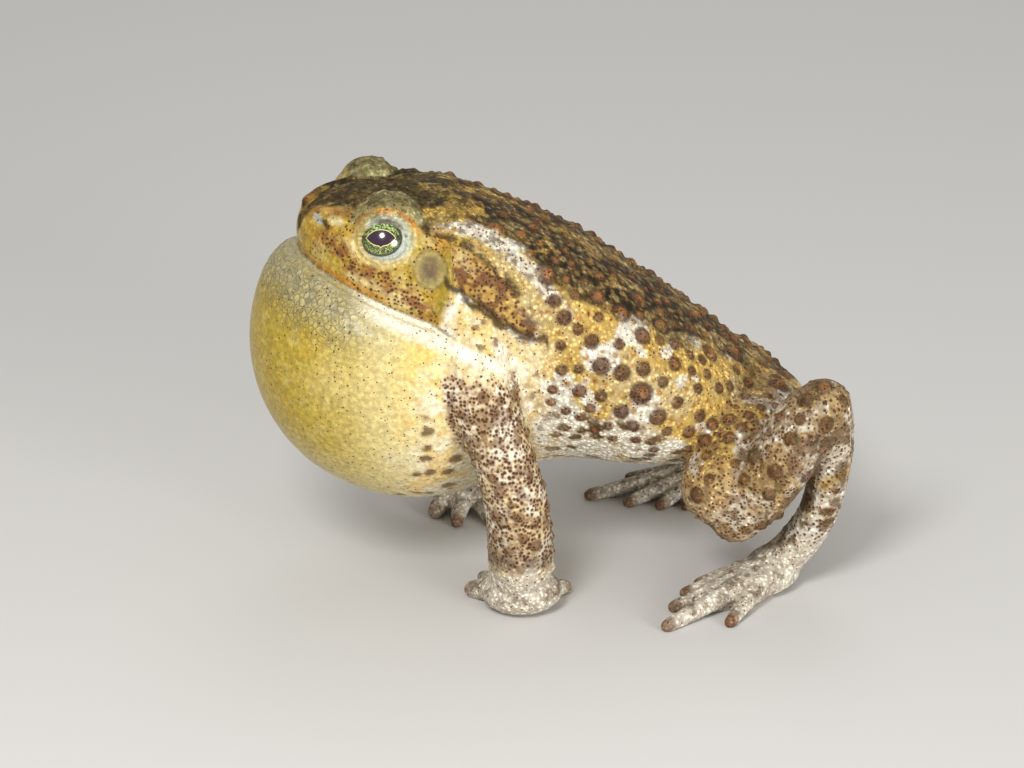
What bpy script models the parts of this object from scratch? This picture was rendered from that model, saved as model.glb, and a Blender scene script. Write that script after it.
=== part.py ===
"""A male cane toad calling with a full vocal sac, life size, as a still model in separate named pieces.

The toad faces -Y with its left side towards +X, and stands on the floor at z = 0.
Every size below is in millimetres and is turned into metres where a shape is made.
The body is modelled whole, as one skin round overlapping forms, and is then parted with thin cuts.
"""

import math
import random

import bmesh
import bpy
import numpy as np
from mathutils import Matrix, Vector
from mathutils.bvhtree import BVHTree

MM = 0.001

# Skin: the grain of the first whole skin, the triangles kept after it, and the cut between two pieces
SKIN_VOXEL = 0.62
SKIN_TRIANGLES = 11500
NODE_SHARE = 0.72
GAP = 0.3
SIDES = (("left", 1.0), ("right", -1.0))

# The mouth lies in one plane that falls backwards from the tip of the upper lip
LIP_HEIGHT = 74.0
MOUTH_PITCH = math.radians(24.6)
JAW_HALF_WIDTH = 22.0
JAW_LENGTH = 26.0

# The vocal sac, in the frame of the mouth: backwards along it, and downwards square to it
SAC_CENTRE_BACK = 32.0
SAC_CENTRE_DOWN = 8.8
SAC_RADIUS = 35.6
SAC_HALF_WIDTH = 31.0
SAC_ROOT = 9.0

# The crown and the back are flatter than an oval: the power of its sine and cosine
CROWN_POWER = 0.82

# Each row is y, half width, top, height of the widest place, bottom
HEAD_ROWS = (
    (-0.1, 1.6, 78.4, 76.4, 74.8),
    (0.3, 4.6, 79.8, 76.0, 72.9),
    (1.3, 7.7, 81.8, 75.2, 71.0),
    (3.0, 11.0, 83.3, 74.2, 69.0),
    (6.0, 14.9, 84.9, 73.0, 66.0),
    (10.0, 18.2, 85.8, 71.2, 62.0),
    (15.0, 20.7, 86.0, 69.0, 60.0),
    (20.0, 22.0, 86.0, 67.0, 57.0),
    (26.0, 22.5, 86.4, 65.5, 54.0),
    (32.0, 22.5, 85.4, 64.0, 50.0),
    (38.0, 21.0, 81.0, 62.0, 48.0),
)
TORSO_ROWS = (
    (20.0, 16.0, 82.0, 70.0, 50.0),
    (25.0, 19.5, 85.2, 69.0, 38.0),
    (31.0, 21.5, 86.4, 66.0, 29.0),
    (38.0, 24.5, 83.6, 61.0, 23.5),
    (47.0, 27.5, 79.6, 55.0, 22.5),
    (56.0, 29.5, 74.8, 49.5, 24.0),
    (65.0, 31.0, 69.2, 44.5, 22.8),
    (73.0, 31.0, 63.2, 40.5, 22.0),
    (82.0, 28.5, 56.6, 37.0, 22.0),
    (90.0, 24.0, 50.2, 34.5, 22.0),
    (98.0, 18.5, 43.6, 32.5, 23.0),
    (105.0, 12.5, 38.5, 31.0, 24.5),
    (109.2, 7.6, 35.4, 30.0, 26.0),
    (110.9, 4.4, 33.2, 29.6, 27.3),
    (111.6, 1.4, 31.2, 29.4, 28.5),
)

# Eye: its frame is the way it looks, backwards along the lids, and up across them
EYE_CENTRE = (13.8, 16.5, 78.9)
EYE_RADIUS = 5.8
EYE_OUT = (0.906, -0.200, 0.373)
EYE_BACK = (0.216, 0.976, 0.0)
LID_OPENING = (4.9, 4.2)
LID_HEIGHT = 0.8
LID_FOOT = 0.88
LID_SNAP = 0.06
ORBIT_SHIFT = (-1.3, 0.8, 1.2)
ORBIT_RADII = (7.4, 7.3, 8.8)

EAR_CENTRE = (20.6, 24.5, 74.3)
EAR_OUT = (0.93, -0.06, 0.36)
EAR_RADII = (3.3, 3.9)

GLAND_CENTRE = (20.6, 38.0, 68.8)
GLAND_ALONG = (0.345, 0.673, -0.654)
GLAND_OUT = (0.90, -0.06, 0.42)
GLAND_RADII = (4.6, 14.5, 6.6)

# Limbs of the left side: each row is x, y, z and the radius there
ARM = (
    (20.0, 33.0, 57.5, 9.0),
    (24.5, 32.0, 53.0, 8.4),
    (29.0, 34.6, 45.0, 7.2),
    (31.8, 37.2, 36.6, 6.5),
    (32.5, 40.0, 26.0, 6.7),
    (31.5, 41.2, 14.2, 7.0),
    (30.0, 41.2, 9.0, 6.6),
)
# The left heel is lifted level with the vent. The right one is low, as the body hides it in the photograph
THIGH = {
    "left": (
        (9.0, 99.0, 32.5, 9.0),
        (17.0, 97.0, 32.0, 10.0),
        (25.0, 91.0, 31.5, 9.8),
        (32.0, 84.2, 25.5, 8.8),
    ),
    "right": (
        (9.0, 99.0, 32.0, 9.0),
        (17.0, 97.0, 30.0, 10.0),
        (25.5, 90.5, 26.5, 9.8),
        (31.5, 82.0, 20.5, 8.6),
    ),
}
SHANK = {
    "left": (
        (34.0, 87.0, 19.5, 6.0),
        (36.6, 90.6, 25.0, 6.6),
        (37.8, 95.0, 32.5, 7.2),
        (37.4, 100.0, 40.0, 6.8),
        (36.4, 104.4, 43.5, 6.2),
    ),
    "right": (
        (34.0, 82.5, 14.5, 6.0),
        (36.4, 88.0, 15.5, 6.6),
        (37.0, 94.5, 17.5, 7.0),
        (35.0, 102.0, 19.5, 6.6),
        (32.4, 107.6, 20.5, 6.0),
    ),
}
TARSUS = {
    "left": (
        (36.4, 105.4, 42.0, 5.6),
        (35.6, 106.8, 32.0, 4.6),
        (33.4, 105.0, 18.0, 4.3),
        (30.5, 99.5, 8.0, 4.4),
        (29.5, 95.0, 5.0, 4.2),
    ),
    "right": (
        (32.0, 108.6, 19.0, 5.5),
        (29.5, 108.0, 10.0, 4.6),
        (26.5, 104.0, 6.0, 4.4),
        (24.2, 99.0, 5.0, 4.3),
        (23.2, 95.0, 4.4, 4.0),
    ),
}

# Fingers: base, middle and tip of each
FINGERS = (
    ((27.0, 38.5, 4.5, 3.1), (24.0, 35.6, 2.8, 2.6), (20.8, 33.0, 1.5, 1.9)),
    ((24.0, 40.0, 4.5, 2.7), (19.5, 38.4, 2.5, 2.1), (14.8, 36.6, 1.2, 1.5)),
    ((24.0, 42.5, 4.5, 2.6), (18.5, 43.5, 2.5, 2.0), (13.2, 44.2, 1.2, 1.5)),
    ((26.0, 45.0, 4.2, 2.7), (25.4, 49.0, 2.5, 2.2), (23.8, 52.4, 1.4, 1.7)),
)
PALM_CENTRE = (28.6, 42.0, 4.0)
PALM_RADII = (8.0, 8.8, 4.6)

# Toes, in the foot's own frame of forwards and outwards: base, tip and radius
FOOT_ORIGIN = {"left": (28.5, 98.5), "right": (23.0, 103.0)}
FOOT_YAW = {"left": math.radians(30.0), "right": math.radians(0.0)}
TOES = (
    ((8.0, -4.0), (14.5, -10.0), 1.6),
    ((9.0, -2.6), (20.0, -8.5), 1.7),
    ((10.0, -0.8), (26.5, -5.2), 1.8),
    ((10.5, 1.2), (34.0, 0.5), 1.9),
    ((9.0, 3.2), (23.0, 8.0), 1.7),
)
WEB_REACH = 0.46
WEB_TOP = 1.5

# Warts: how many places are tried on the trunk, the smallest radius there, and how much larger one can be
TRUNK_WART_TRIES = 2600
TRUNK_WART_RADIUS = 1.2
TRUNK_WART_RANGE = 1.5
WART_SPACE = 0.5
WART_STEEPNESS = 0.5
# Radius of the largest warts of a limb and how many places are tried on it
THIGH_WARTS = (2.3, 70)
SHANK_WARTS = (1.9, 60)
ARM_WARTS = (1.3, 90)
# No wart sits on the chest: in front of this y and below this share of the height
SMOOTH_CHEST_END = 47
SMOOTH_CHEST_TOP = 0.6

# Planes of the parting cuts, as outlines of y and z: the head above the mouth, and the sac below it
HEAD_OUTLINE = ((-12.0, 79.5), (28.5, 60.95), (33.0, 98.0), (-12.0, 98.0))
SAC_OUTLINE = ((-14.0, 12.0), (44.0, 12.0), (28.2, 62.5), (-14.0, 90.0))
FOOT_BOX = (26.0, 36.0, 8.5)
FOOT_MIDDLE = 12.0
HAND_BOX_CENTRE = (27.0, 42.0, 4.5)
HAND_BOX = (18.0, 20.0, 6.0)
HIP_CUT = (15.5, 97.6, 31.5, 9.8)
SHOULDER_CUT = (26.0, 33.0, 50.2, 7.8)

# How deep the cut of the eardrum goes, and how far each other cut keeps outside its limb or gland
DRUM_DEPTH = 1.3
CUT_MARGIN = {"parotoid": 0.5, "forearm": 1.2, "upper_arm": 0.8, "tarsus": 1.0, "shank": 0.5, "thigh": 0.6}

# Folds and ridges of the left side: width, height, and the path of each
RIDGES = (
    (
        1.9,
        0.9,
        (
            (4.0, 2.6, 82.8),
            (6.4, 6.0, 84.6),
            (7.4, 10.0, 85.8),
            (7.8, 15.5, 86.6),
            (9.0, 21.5, 86.8),
            (11.0, 27.0, 86.0),
        ),
    ),
    (1.3, 0.4, ((9.0, 8.0, 83.0), (13.0, 8.6, 79.3), (15.6, 10.0, 75.3))),
    (1.5, 0.7, ((12.5, 24.0, 85.6), (17.0, 23.4, 82.4), (19.6, 25.0, 80.6), (20.4, 28.6, 78.8))),
    (1.7, 1.1, ((21.4, 28.2, 78.0), (22.2, 28.4, 72.0), (22.2, 27.4, 66.5), (21.6, 26.4, 62.8))),
)


def smooth_rows(rows, steps):
    """The rows with steps between them, along a Catmull-Rom curve."""
    rows = np.array(rows, float)
    padded = np.vstack([2 * rows[0] - rows[1], rows, 2 * rows[-1] - rows[-2]])
    made = []
    for a, b, c, d in zip(padded, padded[1:], padded[2:], padded[3:]):
        for t in np.linspace(0, 1, steps, endpoint=False):
            bend = (2 * a - 5 * b + 4 * c - d) * t + (3 * b - a - 3 * c + d) * t**2
            made.append(b + 0.5 * t * (c - a + bend))
    made.append(rows[-1])
    return np.array(made)


def unit(way):
    way = np.array(way, float)
    return way / np.linalg.norm(way)


def frame_of(out, along):
    """Three axes as rows: out, along, and the third across both."""
    out = unit(out)
    along = unit(np.array(along) - out * np.dot(out, along))
    return np.array([out, along, np.cross(out, along)])


def mirrored(row, side):
    return (row[0] * side, *row[1:])


def from_mouth(across, back, down):
    """A place given in the frame of the mouth."""
    c, s = math.cos(MOUTH_PITCH), math.sin(MOUTH_PITCH)
    return (across, back * c - down * s, LIP_HEIGHT - back * s - down * c)


def mesh_object(name, mesh):
    obj = bpy.data.objects.new(name, mesh)
    bpy.context.scene.collection.objects.link(obj)
    return obj


def loft(name, rings):
    """A closed skin through rings that have the same count of points."""
    bm = bmesh.new()
    loops = [[bm.verts.new(Vector(p) * MM) for p in ring] for ring in rings]
    count = len(loops[0])
    for near, far in zip(loops, loops[1:]):
        for i in range(count):
            j = (i + 1) % count
            bm.faces.new((near[i], near[j], far[j], far[i]))
    bm.faces.new(loops[0][::-1])
    bm.faces.new(loops[-1])
    bmesh.ops.recalc_face_normals(bm, faces=bm.faces)
    mesh = bpy.data.meshes.new(name)
    bm.to_mesh(mesh)
    bm.free()
    return mesh_object(name, mesh)


def body_rings(rows, count=40):
    """Upright sections across the body, each an oval with its own top and bottom half."""
    rings = []
    for y, half_width, top, middle, bottom in rows:
        ring = []
        for i in range(count):
            c, s = math.cos(2 * math.pi * i / count), math.sin(2 * math.pi * i / count)
            power = CROWN_POWER if s > 0 else 1.0
            across = half_width * math.copysign(abs(c) ** power, c)
            rise = (top - middle if s > 0 else middle - bottom) * math.copysign(abs(s) ** power, s)
            ring.append((across, y, middle + rise))
        rings.append(ring)
    return rings


def sac_rings(count=48):
    """Sections parallel to the mouth: the outline of the jaw first, which swells into a ball."""
    depth = SAC_CENTRE_DOWN + SAC_RADIUS
    rings = []
    for t in np.linspace(-0.06, 0.997, 30):
        down = depth * (1 - math.cos(math.pi * t / 2)) if t > 0 else depth * t
        swell = math.sqrt(1 - (1 - min(1, max(0, down) / SAC_ROOT)) ** 2)
        below = max(0, down - SAC_CENTRE_DOWN) / SAC_RADIUS
        ball = math.sqrt(1 - below**2)
        centre = JAW_LENGTH + (SAC_CENTRE_BACK - JAW_LENGTH) * swell
        length = (JAW_LENGTH - 1) * (1 - swell) + SAC_RADIUS * ball * swell
        width = (JAW_HALF_WIDTH - 1) * (1 - swell) + SAC_HALF_WIDTH * ball * swell
        angles = [2 * math.pi * i / count for i in range(count)]
        rings.append([from_mouth(width * math.cos(a), centre + length * math.sin(a), down) for a in angles])
    return rings


def egg(name, centre, radii, axes=None, segments=20):
    """An ellipsoid. Its radii are along the rows of axes, or along X, Y and Z."""
    bpy.ops.mesh.primitive_uv_sphere_add(segments=segments, ring_count=segments * 3 // 5, radius=MM)
    obj = bpy.context.object
    obj.name = name
    turn = Matrix(axes.T.tolist()).to_4x4() if axes is not None else Matrix.Identity(4)
    obj.data.transform(Matrix.Translation(Vector(centre) * MM) @ turn @ Matrix.Diagonal((*radii, 1)))
    if turn.determinant() < 0:
        obj.data.flip_normals()
    return obj


def mesh_of_curve(name, curve):
    """A mesh object of the curve, with its caps welded. The curve is removed."""
    drawn = mesh_object(name, curve)
    bpy.context.view_layer.update()
    mesh = bpy.data.meshes.new_from_object(drawn.evaluated_get(bpy.context.evaluated_depsgraph_get()))
    bpy.data.objects.remove(drawn)
    bm = bmesh.new()
    bm.from_mesh(mesh)
    bmesh.ops.remove_doubles(bm, verts=bm.verts, dist=0.001 * MM)
    bmesh.ops.recalc_face_normals(bm, faces=bm.faces)
    bm.to_mesh(mesh)
    bm.free()
    return mesh_object(name, mesh)


def tube(name, places, resolution):
    """A tube through rows of x, y, z and radius."""
    curve = bpy.data.curves.new(name, "CURVE")
    curve.dimensions = "3D"
    curve.bevel_depth = MM
    curve.bevel_resolution = resolution
    curve.use_fill_caps = True
    spline = curve.splines.new("POLY")
    spline.points.add(len(places) - 1)
    for point, (x, y, z, radius) in zip(spline.points, places):
        point.co = (x * MM, y * MM, z * MM, 1)
        point.radius = radius
    return mesh_of_curve(name, curve)


def flat_plate(name, outline, half_thickness):
    """A closed outline of x and y, thickened both ways from z = 0."""
    curve = bpy.data.curves.new(name, "CURVE")
    curve.dimensions = "2D"
    curve.fill_mode = "BOTH"
    curve.extrude = half_thickness * MM
    spline = curve.splines.new("POLY")
    spline.points.add(len(outline) - 1)
    for point, (x, y) in zip(spline.points, outline):
        point.co = (x * MM, y * MM, 0, 1)
    spline.use_cyclic_u = True
    return mesh_of_curve(name, curve)


def rounded_end(end, before):
    """Rows that close a tube with half a ball, from its end outwards."""
    way = unit(end[:3] - before[:3])
    bends = [math.radians(a) for a in (25, 50, 70, 84)]
    return [np.append(end[:3] + way * end[3] * math.sin(a), end[3] * math.cos(a)) for a in bends]


def limb(name, rows):
    """A fleshy tube with round ends."""
    path = list(smooth_rows(rows, 5))
    return tube(name, rounded_end(path[0], path[1])[::-1] + path + rounded_end(path[-1], path[-2]), 8)


def foot_place(forward, outward, name):
    yaw = FOOT_YAW[name]
    x = FOOT_ORIGIN[name][0] + forward * math.sin(yaw) + outward * math.cos(yaw)
    y = FOOT_ORIGIN[name][1] - forward * math.cos(yaw) + outward * math.sin(yaw)
    return x * dict(SIDES)[name], y


def web(name):
    """The skin between the toes, a plate with a hollow edge between each two."""
    edge = []
    for (base, tip, _), (next_base, next_tip, _) in zip(TOES, TOES[1:]):
        here = np.array(base) + WEB_REACH * (np.array(tip) - base)
        there = np.array(next_base) + WEB_REACH * (np.array(next_tip) - next_base)
        edge += [here, 0.5 * (here + there) - (2.0, 0.0)]
    edge.append(there)
    outline = [foot_place(*p, name) for p in [(5.0, -3.0), *edge, (5.0, 3.0)]]
    plate = flat_plate(f"{name}_web", outline, 0.5 * WEB_TOP + 0.2)
    plate.data.transform(Matrix.Translation((0, 0, (0.5 * WEB_TOP - 0.2) * MM)))
    return plate


def toe_rows(base, tip, radius, name):
    middle = ((base[0] + tip[0]) / 2, (base[1] + tip[1]) / 2)
    shape = ((base, 4.0, 1.5), (middle, 2.6, 1.1), (tip, 1.0, 0.8))
    return [(*foot_place(*place, name), z, radius * grow) for place, z, grow in shape]


def body_forms():
    """Every form of the toad, overlapping its neighbours."""
    yield loft("head", body_rings(smooth_rows(HEAD_ROWS, 4)))
    yield loft("torso", body_rings(smooth_rows(TORSO_ROWS, 4)))
    yield loft("sac", sac_rings())
    for name, side in SIDES:
        orbit = np.add(EYE_CENTRE, ORBIT_SHIFT)
        yield egg(f"{name}_orbit", mirrored(orbit, side), ORBIT_RADII)
        gland = frame_of(mirrored(GLAND_OUT, side), mirrored(GLAND_ALONG, side))
        yield egg(f"{name}_gland", mirrored(GLAND_CENTRE, side), GLAND_RADII, gland)
        for rows in (ARM, THIGH[name], SHANK[name], TARSUS[name]):
            yield limb(f"{name}_limb", [mirrored(row, side) for row in rows])
        yield egg(f"{name}_palm", mirrored(PALM_CENTRE, side), PALM_RADII)
        for rows in FINGERS:
            yield limb(f"{name}_finger", [mirrored(row, side) for row in rows])
        sole = frame_of((0, 0, 1), (math.sin(FOOT_YAW[name]) * side, -math.cos(FOOT_YAW[name]), 0))
        yield egg(f"{name}_sole", (*foot_place(5, 0, name), 3.6), (4.0, 9.5, 6.2), sole)
        yield web(name)
        for base, tip, radius in TOES:
            yield limb(f"{name}_toe", toe_rows(base, tip, radius, name))


def one_mesh(name, pieces):
    """One object that holds every piece. The pieces are removed."""
    bm = bmesh.new()
    for piece in pieces:
        bm.from_mesh(piece.data)
        bpy.data.objects.remove(piece)
    mesh = bpy.data.meshes.new(name)
    bm.to_mesh(mesh)
    bm.free()
    return mesh_object(name, mesh)


def apply_modifiers(obj):
    bpy.context.view_layer.update()
    mesh = bpy.data.meshes.new_from_object(obj.evaluated_get(bpy.context.evaluated_depsgraph_get()))
    obj.modifiers.clear()
    obj.data = mesh


def points_of(obj):
    points = np.empty(len(obj.data.vertices) * 3)
    obj.data.vertices.foreach_get("co", points)
    return points.reshape(-1, 3) / MM


def normals_of(obj):
    normals = np.empty(len(obj.data.vertices) * 3)
    obj.data.vertex_normals.foreach_get("vector", normals)
    return normals.reshape(-1, 3)


def place_points(obj, points):
    obj.data.vertices.foreach_set("co", (points * MM).ravel())
    obj.data.update()


def relax(obj, rounds, strength):
    """Evens the skin by moving each point towards the middle of its neighbours, by its own strength."""
    points = points_of(obj)
    edges = np.empty(len(obj.data.edges) * 2, int)
    obj.data.edges.foreach_get("vertices", edges)
    ends = edges.reshape(-1, 2)
    both = np.concatenate([ends, ends[:, ::-1]])
    count = np.bincount(both[:, 0], minlength=len(points))[:, None]
    share = strength(points)[:, None]
    for _ in range(rounds):
        total = np.stack([np.bincount(both[:, 0], points[both[:, 1], k], len(points)) for k in range(3)], 1)
        points += share * (total / count - points)
    place_points(obj, points)


def fade(distance, reach):
    """1 at no distance, and 0 from the reach on."""
    return (1 - np.clip(distance / reach, 0, 1) ** 2) ** 2


def ramp(value, start, end):
    t = np.clip((value - start) / (end - start), 0, 1)
    return t * t * (3 - 2 * t)


def distance_to_path(points, path):
    path = np.array(path, float)
    nearest = np.full(len(points), np.inf)
    for a, b in zip(path, path[1:]):
        along = np.clip((points - a) @ (b - a) / np.dot(b - a, b - a), 0, 1)
        nearest = np.minimum(nearest, np.linalg.norm(points - a - along[:, None] * (b - a), axis=1))
    return nearest


def skin_strength(points):
    """How far relaxing goes: little on fingers, toes and snout, most on the trunk."""
    x, y, z = np.abs(points[:, 0]), points[:, 1], points[:, 2]
    digits = ramp(z, 7.0, 11.0)
    face = ramp(y - 0.3 * (86 - z), 20.0, 30.0)
    return 0.12 + 0.4 * digits * (0.35 + 0.65 * face)


def shape_eyes(points):
    """Sinks the opening between the lids under the eyeball, and draws the lids up round it."""
    for _, side in SIDES:
        centre = np.array(mirrored(EYE_CENTRE, side))
        out, back, up = frame_of(mirrored(EYE_OUT, side), mirrored(EYE_BACK, side))
        up = up * side
        reach = points - centre
        sideways = reach - np.outer(reach @ out, out)
        oval = np.hypot(reach @ back / LID_OPENING[0], reach @ up / LID_OPENING[1])
        facing = (reach @ out > 0) & (np.linalg.norm(reach, axis=1) < EYE_RADIUS + 5)
        for edge in (LID_FOOT, 1.0):
            close = facing & (np.abs(oval - edge) < LID_SNAP)
            reach[close] += sideways[close] * (edge / oval[close] - 1)[:, None]
            oval[close] = edge
        far = np.linalg.norm(reach, axis=1)
        fold = 0.4 * fade(oval - 1.45, 0.3) * ramp(reach @ up, 0.5, 2.5)
        lid = np.maximum(EYE_RADIUS + LID_HEIGHT + fold, np.where(oval < 1.3, 0, far))
        target = np.where(oval < 0.5 * (1 + LID_FOOT), EYE_RADIUS - 1.2, lid)
        held = (1 - ramp(oval, 1.25, 2.3)) * facing
        points[facing] = (centre + reach * (1 + held * (target / far - 1))[:, None])[facing]


def mouth_frame(points):
    """Across, back and down of each point, in the frame of the mouth."""
    c, s = math.cos(MOUTH_PITCH), math.sin(MOUTH_PITCH)
    back = points[:, 1] * c - (points[:, 2] - LIP_HEIGHT) * s
    down = -points[:, 1] * s - (points[:, 2] - LIP_HEIGHT) * c
    return points[:, 0], back, down


def mouth_rise(points):
    """The groove of the mouth with the swollen upper lip above it."""
    across, back, down = mouth_frame(points)
    ahead = 1 - ramp(back, 24.5, 29.0)
    outer = ramp(np.hypot(across / JAW_HALF_WIDTH, (back - JAW_LENGTH) / JAW_LENGTH), 0.75, 0.9)
    lip = 0.5 * fade(down + 1.7, 1.7)
    groove = -1.0 * fade(down, 0.9)
    return ahead * outer * (lip + groove)


def ear_rise(points, side):
    """A low rim round the eardrum, and the drum a little sunk inside it."""
    _, back, up = frame_of(mirrored(EAR_OUT, side), (0, 1, 0))
    reach = points - mirrored(EAR_CENTRE, side)
    oval = np.hypot(reach @ back / EAR_RADII[0], reach @ up / EAR_RADII[1])
    near = np.linalg.norm(reach, axis=1) < 7
    return near * (0.45 * fade(oval - 1.15, 0.35) - 0.35 * fade(oval, 1.1))


def nostril_rise(points, side):
    bump = 0.4 * fade(np.linalg.norm(points - (4.8 * side, 3.0, 81.6), axis=1), 2.4)
    pit = -1.3 * fade(distance_to_path(points, ((4.5 * side, 2.3, 81.8), (5.6 * side, 3.4, 80.6))), 0.9)
    return bump + pit


def settled(tree, path, side):
    """The path with each of its points moved to the nearest place on the skin."""
    return [Vector(tree.find_nearest(Vector(mirrored(p, side)) * MM)[0]) / MM for p in path]


def wart_places(tree):
    """Seeded warts: rows of place and radius, on the trunk and on the legs, none touching another."""
    rng = random.Random(11)
    warts = []

    def try_wart(origin, way, radius, reach):
        hit, _, _, _ = tree.ray_cast(Vector(origin) * MM, Vector(way), reach * MM)
        if hit is None:
            return
        place = np.array(hit) / MM
        if all(np.linalg.norm(place - other[:3]) > radius + other[3] + WART_SPACE for other in warts):
            warts.append((*place, radius))

    rows = np.array(TORSO_ROWS)
    for _ in range(TRUNK_WART_TRIES):
        y, angle = rng.uniform(33, 106), rng.uniform(-0.35, math.pi + 0.35)
        middle = np.interp(y, rows[:, 0], rows[:, 3])
        height = math.sin(angle)
        flank = ramp(height, -0.3, 0.2) * (1 - 0.5 * ramp(height, 0.75, 0.95))
        radius = TRUNK_WART_RADIUS + TRUNK_WART_RANGE * rng.random() ** 1.6 * flank
        if y > SMOOTH_CHEST_END or height > SMOOTH_CHEST_TOP:
            try_wart((0, y, middle), (math.cos(angle), 0, height), radius, 40)
    for name, side in SIDES:
        limbs = ((THIGH[name][1:], THIGH_WARTS), (SHANK[name], SHANK_WARTS), (ARM[2:6], ARM_WARTS))
        for rows, (radius, tries) in limbs:
            path = smooth_rows(rows, 6)
            for _ in range(tries):
                x, y, z, thick = path[rng.randrange(len(path))]
                way = unit((side * rng.uniform(0.1, 1), rng.uniform(-1, 1), rng.uniform(-0.8, 1)))
                try_wart((x * side, y, z), way, radius * rng.uniform(0.7, 1.15), thick * 1.35)
    return np.array(warts)


def wart_rise(points, warts):
    rise = np.zeros(len(points))
    for x, y, z, radius in warts:
        near = np.flatnonzero(np.abs(points - (x, y, z)).max(axis=1) < radius)
        distance = np.linalg.norm(points[near] - (x, y, z), axis=1)
        rise[near] = np.maximum(rise[near], WART_STEEPNESS * radius * fade(distance, radius))
    keep_clear = [np.linalg.norm(points - mirrored(GLAND_CENTRE, side), axis=1) > 9 for _, side in SIDES]
    return rise * keep_clear[0] * keep_clear[1]


def shape_skin(skin):
    """Adds every raised and sunk feature to the relaxed skin, and flattens what is under the floor."""
    relax(skin, round(12 * (0.62 / SKIN_VOXEL) ** 2), skin_strength)
    tree = BVHTree.FromObject(skin, bpy.context.evaluated_depsgraph_get())
    warts = wart_places(tree)
    points, normals = points_of(skin), normals_of(skin)
    rise = mouth_rise(points) + wart_rise(points, warts)
    for _, side in SIDES:
        rise += ear_rise(points, side) + nostril_rise(points, side)
        for width, height, path in RIDGES:
            rise += height * fade(distance_to_path(points, settled(tree, path, side)), width)
    points += rise[:, None] * normals
    shape_eyes(points)
    points[:, 2] = np.maximum(points[:, 2], 0)
    place_points(skin, points)


def whole_toad():
    toad = one_mesh("toad", list(body_forms()))
    remesh = toad.modifiers.new("one_skin", "REMESH")
    remesh.mode = "VOXEL"
    remesh.voxel_size = SKIN_VOXEL * MM
    apply_modifiers(toad)
    shape_skin(toad)
    thin_out(toad, SKIN_TRIANGLES / (2 * len(toad.data.polygons)))
    return toad


def keep_largest(obj):
    """Drops every loose scrap that a cut left behind."""
    bm = bmesh.new()
    bm.from_mesh(obj.data)
    seen = set()
    shells = []
    for face in bm.faces:
        if face in seen:
            continue
        shell, stack = [], [face]
        seen.add(face)
        while stack:
            here = stack.pop()
            shell.append(here)
            for edge in here.edges:
                for other in edge.link_faces:
                    if other not in seen:
                        seen.add(other)
                        stack.append(other)
        shells.append(shell)
    shells.sort(key=lambda shell: sum(face.calc_area() for face in shell))
    for shell in shells[:-1]:
        bmesh.ops.delete(bm, geom=shell, context="FACES")
    bmesh.ops.triangulate(bm, faces=bm.faces)
    bm.to_mesh(obj.data)
    bm.free()


def cut(obj, cutter, operation):
    boolean = obj.modifiers.new("parting", "BOOLEAN")
    boolean.operation = operation
    boolean.solver = "EXACT"
    boolean.object = cutter
    apply_modifiers(obj)
    keep_largest(obj)


def part_off(name, toad, region):
    """Cuts a node out of the toad. The region is a function of how far to grow, and gives a cutter."""
    node = mesh_object(name, toad.data.copy())
    inner, outer = region(0.0), region(GAP)
    cut(node, inner, "INTERSECT")
    cut(toad, outer, "DIFFERENCE")
    bpy.data.objects.remove(inner)
    bpy.data.objects.remove(outer)
    return node


def slab(outline, grow):
    """A cutter right across the body, over an outline of y and z that turns anticlockwise."""
    corners = [np.array(c, float) for c in outline]
    moved = []
    for before, here, after in zip(corners[-1:] + corners, corners, corners[1:] + corners[:1]):
        a, b = unit(here - before), unit(after - here)
        first, second = np.array((a[1], -a[0])), np.array((b[1], -b[0]))
        moved.append(here + grow * (first + second) / (1 + np.dot(first, second)))
    cutter = flat_plate("slab", moved, 70)
    upright = Matrix(((0, 0, 1, 0), (1, 0, 0, 0), (0, 1, 0, 0), (0, 0, 0, 1)))
    cutter.data.transform(upright)
    return cutter


def box(centre, half, grow):
    bpy.ops.mesh.primitive_cube_add(size=2)
    cutter = bpy.context.object
    sides = Matrix.Diagonal((*((h + grow) * MM for h in half), 1))
    cutter.data.transform(Matrix.Translation(Vector(centre) * MM) @ sides)
    return cutter


def sleeve(rows, thicker, grow):
    """A tube round a limb, cut square at its first row, and past the limb's end at its last."""
    path = smooth_rows(rows, 2)
    path[:, 3] += thicker + grow
    first_way = unit(path[0, :3] - path[1, :3])
    last_way = unit(path[-1, :3] - path[-2, :3])
    path[0, :3] += first_way * grow
    beyond = np.append(path[-1, :3] + last_way * (path[-1, 3] + 1), path[-1, 3])
    return tube("sleeve", [*path, beyond], 6)


def disc(centre, out, radii, depth, grow):
    """A short oval cylinder that reaches into the skin by its depth."""
    axes = frame_of(out, (0, 1, 0))
    half = 0.5 * (depth + grow) + 2
    bpy.ops.mesh.primitive_cylinder_add(vertices=28, radius=MM, depth=2 * MM)
    cutter = bpy.context.object
    turn = Matrix(np.stack([axes[1], axes[2], axes[0]], 1).tolist()).to_4x4()
    middle = Vector(centre) + Vector(axes[0]) * (half - depth - grow)
    shape = Matrix.Diagonal((radii[0] + grow, radii[1] + grow, half, 1))
    cutter.data.transform(Matrix.Translation(middle * MM) @ turn @ shape)
    if turn.determinant() < 0:
        cutter.data.flip_normals()
    return cutter


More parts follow.
